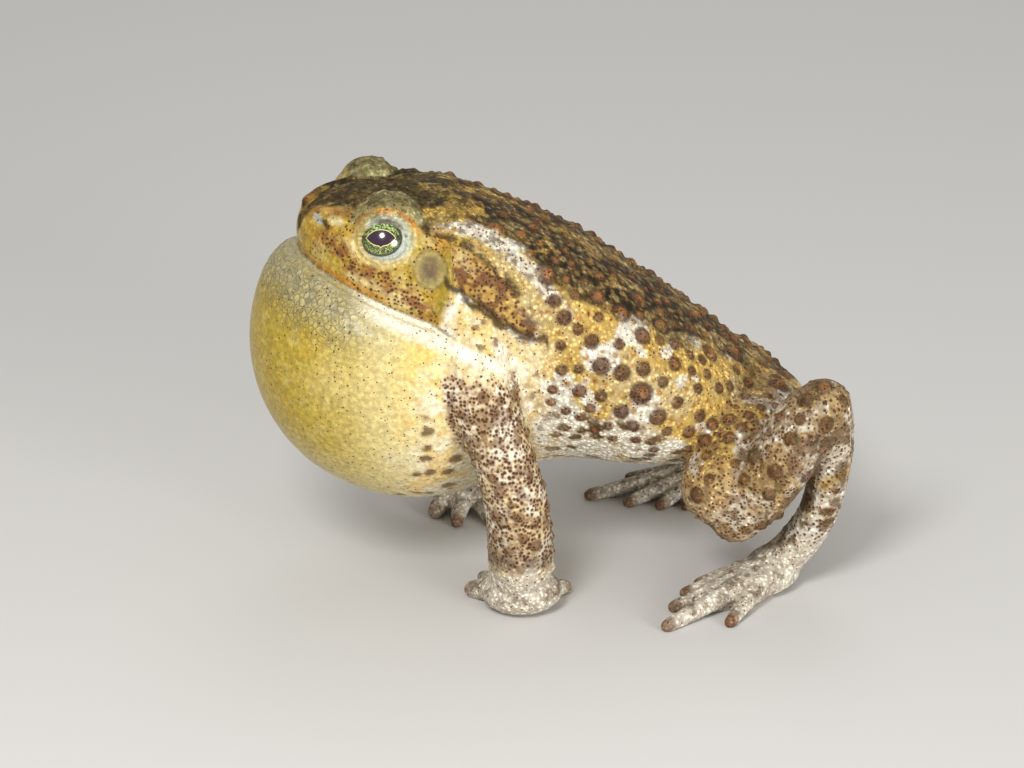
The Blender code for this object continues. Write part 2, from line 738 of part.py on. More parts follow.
def part_side(toad, name, side):
    """The nodes of one side, from the smallest to the largest."""

    def mirror(rows):
        return [mirrored(row, side) for row in rows]

    def limb_cut(part, rows):
        return lambda grow: sleeve(mirror(rows), CUT_MARGIN[part], grow)

    centre = mirrored(EYE_CENTRE, side)
    eye = egg(f"eye_{name}", centre, (EYE_RADIUS,) * 3)
    socket = egg("socket", centre, (EYE_RADIUS + GAP,) * 3)
    cut(toad, socket, "DIFFERENCE")
    bpy.data.objects.remove(socket)
    ear, ear_out = mirrored(EAR_CENTRE, side), mirrored(EAR_OUT, side)
    gland = mirrored(GLAND_CENTRE, side)
    gland_axes = frame_of(mirrored(GLAND_OUT, side), mirrored(GLAND_ALONG, side))
    gland_radii = np.add(GLAND_RADII, CUT_MARGIN["parotoid"])
    foot = foot_place(FOOT_MIDDLE, 0, name)
    regions = {
        "tympanum": lambda grow: disc(ear, ear_out, EAR_RADII, DRUM_DEPTH, grow),
        "parotoid": lambda grow: egg("gland", gland, gland_radii + grow, gland_axes),
        "hand": lambda grow: box(mirrored(HAND_BOX_CENTRE, side), HAND_BOX, grow),
        "forearm": limb_cut("forearm", ARM[3:]),
        "upper_arm": limb_cut("upper_arm", [SHOULDER_CUT, *ARM[2:5]]),
        "foot": lambda grow: box((*foot, 0), FOOT_BOX, grow),
        "tarsus": limb_cut("tarsus", TARSUS[name]),
        "shank": limb_cut("shank", SHANK[name]),
        "thigh": limb_cut("thigh", [HIP_CUT, *THIGH[name][2:]]),
    }
    nodes = [part_off(f"{part}_{name}", toad, region) for part, region in regions.items()]
    return [eye, *nodes]


# Colours of the nodes, for the viewport
COLOURS = {
    "head": (0.55, 0.40, 0.12, 1),
    "vocal_sac": (0.72, 0.60, 0.22, 1),
    "torso": (0.36, 0.26, 0.13, 1),
    "eye": (0.30, 0.34, 0.12, 1),
    "tympanum": (0.42, 0.38, 0.20, 1),
    "parotoid": (0.50, 0.30, 0.14, 1),
    "hand": (0.72, 0.66, 0.52, 1),
    "forearm": (0.50, 0.40, 0.28, 1),
    "upper_arm": (0.52, 0.42, 0.26, 1),
    "foot": (0.62, 0.56, 0.44, 1),
    "tarsus": (0.48, 0.42, 0.32, 1),
    "shank": (0.46, 0.38, 0.26, 1),
    "thigh": (0.52, 0.44, 0.26, 1),
}


def paint(node):
    """A plain wet-skin material of the node's own."""
    kind = node.name.removesuffix("_left").removesuffix("_right")
    material = bpy.data.materials.new(node.name)
    material.use_nodes = True
    shader = material.node_tree.nodes["Principled BSDF"]
    shader.inputs["Base Color"].default_value = COLOURS[kind]
    shader.inputs["Roughness"].default_value = 0.1 if kind == "eye" else 0.45
    node.data.materials.clear()
    node.data.materials.append(material)


def thin_out(node, share):
    """Keeps this share of the triangles: the cuts leave many in flat places."""
    thin = node.modifiers.new("fewer_triangles", "DECIMATE")
    thin.ratio = share
    apply_modifiers(node)


def centre_on_floor(nodes):
    """Moves the toad so that the middle of its box's underside is the origin."""
    low = np.min([points_of(node).min(axis=0) for node in nodes], axis=0)
    high = np.max([points_of(node).max(axis=0) for node in nodes], axis=0)
    shift = -0.5 * (low + high)
    shift[2] = -low[2]
    for node in nodes:
        place_points(node, points_of(node) + shift)


def main():
    for old in list(bpy.data.objects):
        bpy.data.objects.remove(old)
    toad = whole_toad()
    nodes = []
    for name, side in SIDES:
        nodes += part_side(toad, name, side)
    nodes.append(part_off("head", toad, lambda grow: slab(HEAD_OUTLINE, grow)))
    nodes.append(part_off("vocal_sac", toad, lambda grow: slab(SAC_OUTLINE, grow)))
    toad.name = "torso"
    nodes.append(toad)
    collection = bpy.data.collections.new("cane_toad")
    bpy.context.scene.collection.children.link(collection)
    for node in nodes:
        thin_out(node, NODE_SHARE)
        paint(node)
        node.data.shade_smooth()
        for old in node.users_collection:
            old.objects.unlink(node)
        collection.objects.link(node)
    centre_on_floor(nodes)


main()
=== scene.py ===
"""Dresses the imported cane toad: a fine warty skin with its markings, wet eyes, a pale floor and soft light.

The skin repeats the part's own forms at a finer grain, so it lies on the solids. Sizes are in millimetres.
Markings are drawn on the left side as seen in the photograph and mirrored: their paths are in its pixels.
"""

import itertools
import math
import random

import bmesh
import bpy
import numpy as np
from mathutils import Matrix, Vector
from mathutils.bvhtree import BVHTree


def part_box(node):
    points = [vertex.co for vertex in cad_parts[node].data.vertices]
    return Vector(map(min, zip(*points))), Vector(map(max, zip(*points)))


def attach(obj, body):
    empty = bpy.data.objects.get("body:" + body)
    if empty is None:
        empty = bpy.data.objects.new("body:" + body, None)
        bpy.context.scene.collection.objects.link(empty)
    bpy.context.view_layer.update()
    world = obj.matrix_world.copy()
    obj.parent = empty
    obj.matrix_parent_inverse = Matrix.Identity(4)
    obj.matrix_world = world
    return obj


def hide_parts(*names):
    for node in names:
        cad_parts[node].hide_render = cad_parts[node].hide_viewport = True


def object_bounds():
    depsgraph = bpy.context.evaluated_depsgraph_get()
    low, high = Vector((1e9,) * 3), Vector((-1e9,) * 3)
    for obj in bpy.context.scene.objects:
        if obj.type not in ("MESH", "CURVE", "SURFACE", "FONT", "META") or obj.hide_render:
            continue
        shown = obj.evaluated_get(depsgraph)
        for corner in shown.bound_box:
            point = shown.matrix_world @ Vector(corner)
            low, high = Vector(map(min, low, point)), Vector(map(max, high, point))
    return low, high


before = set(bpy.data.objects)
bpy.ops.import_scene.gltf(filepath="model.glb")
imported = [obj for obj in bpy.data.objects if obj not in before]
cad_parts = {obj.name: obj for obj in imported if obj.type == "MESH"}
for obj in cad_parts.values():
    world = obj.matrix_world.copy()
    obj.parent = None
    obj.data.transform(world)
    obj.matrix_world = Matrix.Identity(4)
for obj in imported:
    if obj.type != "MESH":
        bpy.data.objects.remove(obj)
LOADED = [list(corner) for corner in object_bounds()]

MM = 0.001

SIDES = (("left", 1.0), ("right", -1.0))

# Grain of the skin, and rounds of relaxing that even it as far as the solids, whose own grain is coarser
SKIN_VOXEL = 0.46
SOLID_VOXEL = 0.62
RELAX_ROUNDS = round(12 * (SOLID_VOXEL / SKIN_VOXEL) ** 2)

# The mouth lies in one plane that falls backwards from the tip of the upper lip
LIP_HEIGHT = 74.0
MOUTH_PITCH = math.radians(24.6)
JAW_HALF_WIDTH = 22.0
JAW_LENGTH = 26.0

# The vocal sac, in the frame of the mouth: backwards along it, and downwards square to it
SAC_CENTRE_BACK = 32.0
SAC_CENTRE_DOWN = 8.8
SAC_RADIUS = 35.6
SAC_HALF_WIDTH = 31.0
SAC_ROOT = 9.0

# The crown and the back are flatter than an oval: the power of its sine and cosine
CROWN_POWER = 0.82

# Each row is y, half width, top, height of the widest place, bottom
HEAD_ROWS = (
    (-0.1, 1.6, 78.4, 76.4, 74.8),
    (0.3, 4.6, 79.8, 76.0, 72.9),
    (1.3, 7.7, 81.8, 75.2, 71.0),
    (3.0, 11.0, 83.3, 74.2, 69.0),
    (6.0, 14.9, 84.9, 73.0, 66.0),
    (10.0, 18.2, 85.8, 71.2, 62.0),
    (15.0, 20.7, 86.0, 69.0, 60.0),
    (20.0, 22.0, 86.0, 67.0, 57.0),
    (26.0, 22.5, 86.4, 65.5, 54.0),
    (32.0, 22.5, 85.4, 64.0, 50.0),
    (38.0, 21.0, 81.0, 62.0, 48.0),
)
TORSO_ROWS = (
    (20.0, 16.0, 82.0, 70.0, 50.0),
    (25.0, 19.5, 85.2, 69.0, 38.0),
    (31.0, 21.5, 86.4, 66.0, 29.0),
    (38.0, 24.5, 83.6, 61.0, 23.5),
    (47.0, 27.5, 79.6, 55.0, 22.5),
    (56.0, 29.5, 74.8, 49.5, 24.0),
    (65.0, 31.0, 69.2, 44.5, 22.8),
    (73.0, 31.0, 63.2, 40.5, 22.0),
    (82.0, 28.5, 56.6, 37.0, 22.0),
    (90.0, 24.0, 50.2, 34.5, 22.0),
    (98.0, 18.5, 43.6, 32.5, 23.0),
    (105.0, 12.5, 38.5, 31.0, 24.5),
    (109.2, 7.6, 35.4, 30.0, 26.0),
    (110.9, 4.4, 33.2, 29.6, 27.3),
    (111.6, 1.4, 31.2, 29.4, 28.5),
)

# Eye: its frame is the way it looks, backwards along the lids, and up across them
EYE_CENTRE = (13.8, 16.5, 78.9)
EYE_RADIUS = 5.8
EYE_OUT = (0.906, -0.200, 0.373)
EYE_BACK = (0.216, 0.976, 0.0)
LID_OPENING = (4.9, 4.2)
LID_HEIGHT = 0.8
LID_FOOT = 0.88
LID_SNAP = 0.05
LID_REACH = EYE_RADIUS + 5
ORBIT_SHIFT = (-1.3, 0.8, 1.2)
ORBIT_RADII = (7.4, 7.3, 8.8)

EAR_CENTRE = (20.6, 24.5, 74.3)
EAR_OUT = (0.93, -0.06, 0.36)
EAR_RADII = (3.3, 3.9)
EAR_REACH = 7

GLAND_CENTRE = (20.6, 38.0, 68.8)
GLAND_ALONG = (0.345, 0.673, -0.654)
GLAND_OUT = (0.90, -0.06, 0.42)
GLAND_RADII = (4.6, 14.5, 6.6)
GLAND_SMOOTH = 9

# Limbs of the left side: each row is x, y, z and the radius there
ARM = (
    (20.0, 33.0, 57.5, 9.0),
    (24.5, 32.0, 53.0, 8.4),
    (29.0, 34.6, 45.0, 7.2),
    (31.8, 37.2, 36.6, 6.5),
    (32.5, 40.0, 26.0, 6.7),
    (31.5, 41.2, 14.2, 7.0),
    (30.0, 41.2, 9.0, 6.6),
)
# The left heel is lifted level with the vent. The right one is low, as the body hides it in the photograph
THIGH = {
    "left": (
        (9.0, 99.0, 32.5, 9.0),
        (17.0, 97.0, 32.0, 10.0),
        (25.0, 91.0, 31.5, 9.8),
        (32.0, 84.2, 25.5, 8.8),
    ),
    "right": (
        (9.0, 99.0, 32.0, 9.0),
        (17.0, 97.0, 30.0, 10.0),
        (25.5, 90.5, 26.5, 9.8),
        (31.5, 82.0, 20.5, 8.6),
    ),
}
SHANK = {
    "left": (
        (34.0, 87.0, 19.5, 6.0),
        (36.6, 90.6, 25.0, 6.6),
        (37.8, 95.0, 32.5, 7.2),
        (37.4, 100.0, 40.0, 6.8),
        (36.4, 104.4, 43.5, 6.2),
    ),
    "right": (
        (34.0, 82.5, 14.5, 6.0),
        (36.4, 88.0, 15.5, 6.6),
        (37.0, 94.5, 17.5, 7.0),
        (35.0, 102.0, 19.5, 6.6),
        (32.4, 107.6, 20.5, 6.0),
    ),
}
TARSUS = {
    "left": (
        (36.4, 105.4, 42.0, 5.6),
        (35.6, 106.8, 32.0, 4.6),
        (33.4, 105.0, 18.0, 4.3),
        (30.5, 99.5, 8.0, 4.4),
        (29.5, 95.0, 5.0, 4.2),
    ),
    "right": (
        (32.0, 108.6, 19.0, 5.5),
        (29.5, 108.0, 10.0, 4.6),
        (26.5, 104.0, 6.0, 4.4),
        (24.2, 99.0, 5.0, 4.3),
        (23.2, 95.0, 4.4, 4.0),
    ),
}

# Fingers: base, middle and tip of each
FINGERS = (
    ((27.0, 38.5, 4.5, 3.1), (24.0, 35.6, 2.8, 2.6), (20.8, 33.0, 1.5, 1.9)),
    ((24.0, 40.0, 4.5, 2.7), (19.5, 38.4, 2.5, 2.1), (14.8, 36.6, 1.2, 1.5)),
    ((24.0, 42.5, 4.5, 2.6), (18.5, 43.5, 2.5, 2.0), (13.2, 44.2, 1.2, 1.5)),
    ((26.0, 45.0, 4.2, 2.7), (25.4, 49.0, 2.5, 2.2), (23.8, 52.4, 1.4, 1.7)),
)
PALM_CENTRE = (28.6, 42.0, 4.0)
PALM_RADII = (8.0, 8.8, 4.6)

# Toes, in the foot's own frame of forwards and outwards: base, tip and radius
FOOT_ORIGIN = {"left": (28.5, 98.5), "right": (23.0, 103.0)}
FOOT_YAW = {"left": math.radians(30.0), "right": math.radians(0.0)}
TOES = (
    ((8.0, -4.0), (14.5, -10.0), 1.6),
    ((9.0, -2.6), (20.0, -8.5), 1.7),
    ((10.0, -0.8), (26.5, -5.2), 1.8),
    ((10.5, 1.2), (34.0, 0.5), 1.9),
    ((9.0, 3.2), (23.0, 8.0), 1.7),
)
WEB_REACH = 0.46
WEB_TOP = 1.5

# Warts: how many places are tried on the trunk, the smallest radius there, and how much larger one can be
TRUNK_WART_TRIES = 2600
TRUNK_WART_RADIUS = 1.2
TRUNK_WART_RANGE = 1.5
WART_SPACE = 0.5
WART_STEEPNESS = 0.5
# Radius of the largest warts of a limb and how many places are tried on it
THIGH_WARTS = (2.3, 70)
SHANK_WARTS = (1.9, 60)
ARM_WARTS = (1.3, 90)
# Tubercles: how many places are tried on the trunk, and on each thigh, shank, heel and arm
SMALL_TRUNK_TRIES = 5000
SMALL_LIMB_TRIES = (700, 700, 350, 1100)
MOST_WARTS = 6000
# No wart sits on the chest: in front of this y and below this share of the height
SMOOTH_CHEST_END = 47
SMOOTH_CHEST_TOP = 0.6

# Folds and ridges of the left side: width, height, and the path of each
RIDGES = (
    (
        1.9,
        0.9,
        (
            (4.0, 2.6, 82.8),
            (6.4, 6.0, 84.6),
            (7.4, 10.0, 85.8),
            (7.8, 15.5, 86.6),
            (9.0, 21.5, 86.8),
            (11.0, 27.0, 86.0),
        ),
    ),
    (1.3, 0.4, ((9.0, 8.0, 83.0), (13.0, 8.6, 79.3), (15.6, 10.0, 75.3))),
    (1.5, 0.7, ((12.5, 24.0, 85.6), (17.0, 23.4, 82.4), (19.6, 25.0, 80.6), (20.4, 28.6, 78.8))),
    (1.7, 1.1, ((21.4, 28.2, 78.0), (22.2, 28.4, 72.0), (22.2, 27.4, 66.5), (21.6, 26.4, 62.8))),
)

# The photograph's camera, before the toad is moved over the origin
LOOK_AT = (20.35, 41.68, 47.58)
VIEW_RIGHT = (0.2079, 0.9781, 0.0)
VIEW_UP = (-0.3664, 0.0779, 0.9272)
VIEW_BACK = (0.9069, -0.1928, 0.3746)
CAMERA_DISTANCE = 750.0
PHOTO_SCALE = 4.8
PHOTO_MIDDLE = (512, 384)
BODY = "root"

# Each light is its azimuth, elevation, distance in metres, size in metres and power in watts
LIGHTS = {
    "key": (60, 40, 0.7, 0.22, 3.4),
    "fill": (115, 7, 0.9, 0.4, 6.2),
    "back": (250, 50, 0.9, 0.5, 0.9),
}
# Where the lights point, the pale floor, and the even light from all round
LIT_PLACE = (0, 0, 0.045)
FLOOR_COLOUR = (0.58, 0.57, 0.55)
SKY_COLOUR = (0.80, 0.79, 0.77)
SKY_STRENGTH = 0.68

# Where the middle of the pupil lies off the middle of the lids, and the half sizes of the pupil
PUPIL_AHEAD = 0.7
PUPIL_UP = 0.3
PUPIL_HALF_LENGTH = 2.95
PUPIL_HALF_HEIGHT = 1.55
EYEBALL_SEGMENTS = 96

# Markings of the left side as seen in the photograph: x and y of its pixels
LIP = ((297, 246), (305, 258), (322, 270), (341, 280), (359, 290), (378, 299), (396, 305), (415, 310))
CANTHUS = ((308, 211), (325, 209), (340, 210), (352, 214))
UNDER_EYE = (
    (326, 238), (340, 252), (350, 262), (362, 268), (377, 275), (388, 284), (400, 292), (415, 303),
    (428, 312),
)
PALE_CHEEK = ((352, 276), (372, 285), (390, 296), (405, 303))
PALE_UNDER_EYE = ((372, 262), (385, 266), (400, 258), (408, 248))
BEHIND_EYE = ((424, 208), (432, 220), (440, 236), (448, 252))
RUST_BLOTCH = ((338, 250), (342, 255))
# The pit of the nostril, where its shade is painted
NOSTRIL_PIT_SHADE = ((324, 221), (328, 228))
NOSTRIL_FLAP = ((317, 216), (320, 222))
NOSTRIL_BUMP = ((333, 220), (339, 222))
FOLD = ((449, 252), (446, 280), (440, 308))
CROWN_LINE = (
    (290, 240), (298, 228), (304, 216), (312, 208), (336, 206), (353, 208), (378, 206), (396, 208),
    (406, 215), (420, 229), (432, 238), (450, 239), (470, 244),
)
STRIPE = ((452, 232), (470, 229), (482, 234), (500, 246), (520, 262), (537, 279), (552, 296), (566, 316))
GLAND_TOP = (
    (420, 222), (432, 236), (450, 239), (462, 243), (478, 252), (495, 268), (512, 287), (524, 304),
    (534, 322),
)
GLAND_FOOT = (
    (446, 284), (456, 291), (468, 301), (482, 309), (494, 320), (508, 329), (522, 338), (536, 340),
)
GLAND_OUTLINE = (
    (450, 243), (470, 250), (490, 264), (508, 283), (522, 304), (536, 326), (534, 338), (516, 332),
    (496, 318), (476, 303), (460, 290), (452, 268),
)
BACK_LINE = (
    (420, 229), (445, 228), (470, 222), (500, 236), (530, 262), (560, 290), (600, 312), (640, 328),
    (680, 343), (720, 353), (760, 367), (820, 388),
)
BELLY_LINE = (
    (440, 330), (480, 342), (520, 358), (550, 382), (590, 404), (625, 422), (660, 436), (700, 452),
    (760, 480),
)
SHOULDER_LINE = ((430, 352), (470, 372), (500, 372), (520, 352), (560, 340))

# Colours, in linear light
CREAM = (0.66, 0.50, 0.22)
YELLOW = (0.68, 0.44, 0.100)
OLIVE = (0.42, 0.29, 0.065)
WHITE = (0.88, 0.82, 0.67)
BLOTCH_BROWN = (0.115, 0.072, 0.026)
BACK_DARK = (0.026, 0.017, 0.008)
BACK_BROWN = (0.105, 0.056, 0.020)
TAN = (0.33, 0.20, 0.055)
BACK_CREAM = (0.52, 0.38, 0.15)
NAPE_YELLOW = (0.50, 0.32, 0.066)
WART_BROWN = (0.125, 0.058, 0.028)
WART_TAN = (0.26, 0.15, 0.065)
WART_ORANGE = (0.38, 0.140, 0.034)
ORANGE_DOT = (0.42, 0.19, 0.030)
GREY_CREAM = (0.44, 0.35, 0.22)
PALE_SKIN = (0.66, 0.58, 0.46)
LEG_CREAM = (0.68, 0.53, 0.33)
TIP_BROWN = (0.20, 0.09, 0.035)
ARM_CREAM = (0.70, 0.56, 0.37)
ARM_GREY = (0.17, 0.13, 0.11)
SAC_YELLOW = (0.42, 0.300, 0.036)
SAC_GOLD = (0.42, 0.27, 0.026)
SAC_PALE = (0.64, 0.54, 0.26)
SAC_GREY = (0.36, 0.33, 0.20)
# Painted shade for the creases of the sac
SAC_CREASE_SHADE = (0.15, 0.13, 0.065)
FACE_YELLOW = (0.44, 0.31, 0.045)
FACE_GOLD = (0.42, 0.24, 0.026)
PALE_LIP = (0.72, 0.62, 0.34)
RUST = (0.21, 0.055, 0.014)
ORANGE = (0.56, 0.22, 0.018)
FOLD_OLIVE = (0.26, 0.19, 0.015)
# Painted shade for the grooves under the lip, round the eyeball and round the eardrum
GROOVE_SHADE = (0.07, 0.05, 0.035)
NOSTRIL_BLUE = (0.36, 0.41, 0.40)
CROWN_DARK = (0.028, 0.020, 0.008)
CROWN_OLIVE = (0.070, 0.055, 0.014)
CROWN_TAN = (0.150, 0.096, 0.022)
GLAND_YELLOW = (0.50, 0.31, 0.075)
GLAND_CREAM = (0.60, 0.44, 0.16)
GLAND_RED = (0.125, 0.040, 0.014)
LID_CREAM = (0.56, 0.47, 0.20)
LID_OLIVE = (0.30, 0.27, 0.11)
LID_PALE = (0.52, 0.48, 0.24)
LID_BROWN = (0.11, 0.060, 0.022)
LID_GREY = (0.42, 0.43, 0.31)
DRUM_OLIVE = (0.22, 0.165, 0.062)
DRUM_RIM = (0.34, 0.27, 0.085)
DRUM_DARK = (0.10, 0.060, 0.040)
SPECK_DARK = (0.045, 0.016, 0.008)
HALO_BROWN = (0.20, 0.100, 0.038)
IRIS_GREEN = (0.035, 0.065, 0.016)
IRIS_GOLD = (0.36, 0.42, 0.10)
UPPER_GREEN = (0.14, 0.25, 0.07)
UPPER_PALE = (0.46, 0.56, 0.24)
IRIS_DARK = (0.012, 0.014, 0.008)
PUPIL_EDGE = (0.72, 0.66, 0.25)
PUPIL_DARK = (0.022, 0.006, 0.020)
RIM_GREY = (0.30, 0.34, 0.31)
RIM_PALE = (0.50, 0.51, 0.42)

# Cells to the metre of the skin's granules and dark specks, and of the fine creases of the sac
GRANULES = 1250.0
CREASE_CELLS = 720.0
SKIN_SPECULAR = 0.12


def smooth_rows(rows, steps):
    """The rows with steps between them, along a Catmull-Rom curve."""
    rows = np.array(rows, float)
    padded = np.vstack([2 * rows[0] - rows[1], rows, 2 * rows[-1] - rows[-2]])
    made = []
    for a, b, c, d in zip(padded, padded[1:], padded[2:], padded[3:]):
        for t in np.linspace(0, 1, steps, endpoint=False):
            bend = (2 * a - 5 * b + 4 * c - d) * t + (3 * b - a - 3 * c + d) * t**2
            made.append(b + 0.5 * t * (c - a + bend))
    made.append(rows[-1])
    return np.array(made)


def unit(way):
    way = np.array(way, float)
    return way / np.linalg.norm(way)


def frame_of(out, along):
    """Three axes as rows: out, along, and the third across both."""
    out = unit(out)
    along = unit(np.array(along) - out * np.dot(out, along))
    return np.array([out, along, np.cross(out, along)])


def mirrored(row, side):
    return (row[0] * side, *row[1:])


def from_mouth(across, back, down):
    """A place given in the frame of the mouth."""
    c, s = math.cos(MOUTH_PITCH), math.sin(MOUTH_PITCH)
    return (across, back * c - down * s, LIP_HEIGHT - back * s - down * c)


def mesh_object(name, mesh):
    obj = bpy.data.objects.new(name, mesh)
    bpy.context.scene.collection.objects.link(obj)
    return obj


def loft(name, rings):
    """A closed skin through rings that have the same count of points."""
    bm = bmesh.new()
    loops = [[bm.verts.new(Vector(p) * MM) for p in ring] for ring in rings]
    count = len(loops[0])
    for near, far in zip(loops, loops[1:]):
        for i in range(count):
            j = (i + 1) % count
            bm.faces.new((near[i], near[j], far[j], far[i]))
    bm.faces.new(loops[0][::-1])
    bm.faces.new(loops[-1])
    bmesh.ops.recalc_face_normals(bm, faces=bm.faces)
    mesh = bpy.data.meshes.new(name)
    bm.to_mesh(mesh)
    bm.free()
    return mesh_object(name, mesh)


def body_rings(rows, count=40):
    """Upright sections across the body, each an oval with its own top and bottom half."""
    rings = []
    for y, half_width, top, middle, bottom in rows:
        ring = []
        for i in range(count):
            c, s = math.cos(2 * math.pi * i / count), math.sin(2 * math.pi * i / count)
            power = CROWN_POWER if s > 0 else 1.0
            across = half_width * math.copysign(abs(c) ** power, c)
            rise = (top - middle if s > 0 else middle - bottom) * math.copysign(abs(s) ** power, s)
            ring.append((across, y, middle + rise))
        rings.append(ring)
    return rings


def sac_rings(count=48):
    """Sections parallel to the mouth: the outline of the jaw first, which swells into a ball."""
    depth = SAC_CENTRE_DOWN + SAC_RADIUS
    rings = []
    for t in np.linspace(-0.06, 0.997, 30):
        down = depth * (1 - math.cos(math.pi * t / 2)) if t > 0 else depth * t
        swell = math.sqrt(1 - (1 - min(1, max(0, down) / SAC_ROOT)) ** 2)
        below = max(0, down - SAC_CENTRE_DOWN) / SAC_RADIUS
        ball = math.sqrt(1 - below**2)
        centre = JAW_LENGTH + (SAC_CENTRE_BACK - JAW_LENGTH) * swell
        length = (JAW_LENGTH - 1) * (1 - swell) + SAC_RADIUS * ball * swell
        width = (JAW_HALF_WIDTH - 1) * (1 - swell) + SAC_HALF_WIDTH * ball * swell
        angles = [2 * math.pi * i / count for i in range(count)]
        rings.append([from_mouth(width * math.cos(a), centre + length * math.sin(a), down) for a in angles])
    return rings


def egg(name, centre, radii, axes=None, segments=20):
    """An ellipsoid. Its radii are along the rows of axes, or along X, Y and Z."""
    bpy.ops.mesh.primitive_uv_sphere_add(segments=segments, ring_count=segments * 3 // 5, radius=MM)
    obj = bpy.context.object
    obj.name = name
    turn = Matrix(axes.T.tolist()).to_4x4() if axes is not None else Matrix.Identity(4)
    obj.data.transform(Matrix.Translation(Vector(centre) * MM) @ turn @ Matrix.Diagonal((*radii, 1)))
    if turn.determinant() < 0:
        obj.data.flip_normals()
    return obj


def mesh_of_curve(name, curve):
    """A mesh object of the curve, with its caps welded. The curve is removed."""
    drawn = mesh_object(name, curve)
    bpy.context.view_layer.update()
    mesh = bpy.data.meshes.new_from_object(drawn.evaluated_get(bpy.context.evaluated_depsgraph_get()))
    bpy.data.objects.remove(drawn)
    bm = bmesh.new()
    bm.from_mesh(mesh)
    bmesh.ops.remove_doubles(bm, verts=bm.verts, dist=0.001 * MM)
    bmesh.ops.recalc_face_normals(bm, faces=bm.faces)
    bm.to_mesh(mesh)
    bm.free()
    return mesh_object(name, mesh)


def tube(name, places, resolution):
    """A tube through rows of x, y, z and radius."""
    curve = bpy.data.curves.new(name, "CURVE")
    curve.dimensions = "3D"
    curve.bevel_depth = MM
    curve.bevel_resolution = resolution
    curve.use_fill_caps = True
    spline = curve.splines.new("POLY")
    spline.points.add(len(places) - 1)
    for point, (x, y, z, radius) in zip(spline.points, places):
        point.co = (x * MM, y * MM, z * MM, 1)
        point.radius = radius
    return mesh_of_curve(name, curve)


def flat_plate(name, outline, half_thickness):
    """A closed outline of x and y, thickened both ways from z = 0."""
    curve = bpy.data.curves.new(name, "CURVE")
    curve.dimensions = "2D"
    curve.fill_mode = "BOTH"
    curve.extrude = half_thickness * MM
    spline = curve.splines.new("POLY")
    spline.points.add(len(outline) - 1)
    for point, (x, y) in zip(spline.points, outline):
        point.co = (x * MM, y * MM, 0, 1)
    spline.use_cyclic_u = True
    return mesh_of_curve(name, curve)


def rounded_end(end, before):
    """Rows that close a tube with half a ball, from its end outwards."""
    way = unit(end[:3] - before[:3])
    bends = [math.radians(a) for a in (25, 50, 70, 84)]
    return [np.append(end[:3] + way * end[3] * math.sin(a), end[3] * math.cos(a)) for a in bends]


def limb(name, rows):
    """A fleshy tube with round ends."""
    path = list(smooth_rows(rows, 5))
    return tube(name, rounded_end(path[0], path[1])[::-1] + path + rounded_end(path[-1], path[-2]), 8)


def foot_place(forward, outward, name):
    yaw = FOOT_YAW[name]
    x = FOOT_ORIGIN[name][0] + forward * math.sin(yaw) + outward * math.cos(yaw)
    y = FOOT_ORIGIN[name][1] - forward * math.cos(yaw) + outward * math.sin(yaw)
    return x * dict(SIDES)[name], y


def web(name):
    """The skin between the toes, a plate with a hollow edge between each two."""
    edge = []
    for (base, tip, _), (next_base, next_tip, _) in zip(TOES, TOES[1:]):
        here = np.array(base) + WEB_REACH * (np.array(tip) - base)
        there = np.array(next_base) + WEB_REACH * (np.array(next_tip) - next_base)
        edge += [here, 0.5 * (here + there) - (2.0, 0.0)]
    edge.append(there)
    outline = [foot_place(*p, name) for p in [(5.0, -3.0), *edge, (5.0, 3.0)]]
    plate = flat_plate(f"{name}_web", outline, 0.5 * WEB_TOP + 0.2)
    plate.data.transform(Matrix.Translation((0, 0, (0.5 * WEB_TOP - 0.2) * MM)))
    return plate


def toe_rows(base, tip, radius, name):
    middle = ((base[0] + tip[0]) / 2, (base[1] + tip[1]) / 2)
    shape = ((base, 4.0, 1.5), (middle, 2.6, 1.1), (tip, 1.0, 0.8))
    return [(*foot_place(*place, name), z, radius * grow) for place, z, grow in shape]


def body_forms():
    """Every form of the toad, overlapping its neighbours."""
    yield loft("head", body_rings(smooth_rows(HEAD_ROWS, 4)))
    yield loft("torso", body_rings(smooth_rows(TORSO_ROWS, 4)))
    yield loft("sac", sac_rings())
    for name, side in SIDES:
        orbit = np.add(EYE_CENTRE, ORBIT_SHIFT)
        yield egg(f"{name}_orbit", mirrored(orbit, side), ORBIT_RADII)
        gland = frame_of(mirrored(GLAND_OUT, side), mirrored(GLAND_ALONG, side))
        yield egg(f"{name}_gland", mirrored(GLAND_CENTRE, side), GLAND_RADII, gland)
        for rows in (ARM, THIGH[name], SHANK[name], TARSUS[name]):
            yield limb(f"{name}_limb", [mirrored(row, side) for row in rows])
        yield egg(f"{name}_palm", mirrored(PALM_CENTRE, side), PALM_RADII)
        for rows in FINGERS:
            yield limb(f"{name}_finger", [mirrored(row, side) for row in rows])
        sole = frame_of((0, 0, 1), (math.sin(FOOT_YAW[name]) * side, -math.cos(FOOT_YAW[name]), 0))
        yield egg(f"{name}_sole", (*foot_place(5, 0, name), 3.6), (4.0, 9.5, 6.2), sole)
        yield web(name)
        for base, tip, radius in TOES:
            yield limb(f"{name}_toe", toe_rows(base, tip, radius, name))


def one_mesh(name, pieces):
    """One object that holds every piece. The pieces are removed."""
    bm = bmesh.new()
    for piece in pieces:
        bm.from_mesh(piece.data)
        bpy.data.objects.remove(piece)
    mesh = bpy.data.meshes.new(name)
    bm.to_mesh(mesh)
    bm.free()
    return mesh_object(name, mesh)


def apply_modifiers(obj):
    bpy.context.view_layer.update()
    mesh = bpy.data.meshes.new_from_object(obj.evaluated_get(bpy.context.evaluated_depsgraph_get()))
    obj.modifiers.clear()
    obj.data = mesh


def points_of(obj):
    points = np.empty(len(obj.data.vertices) * 3)
    obj.data.vertices.foreach_get("co", points)
    return points.reshape(-1, 3) / MM


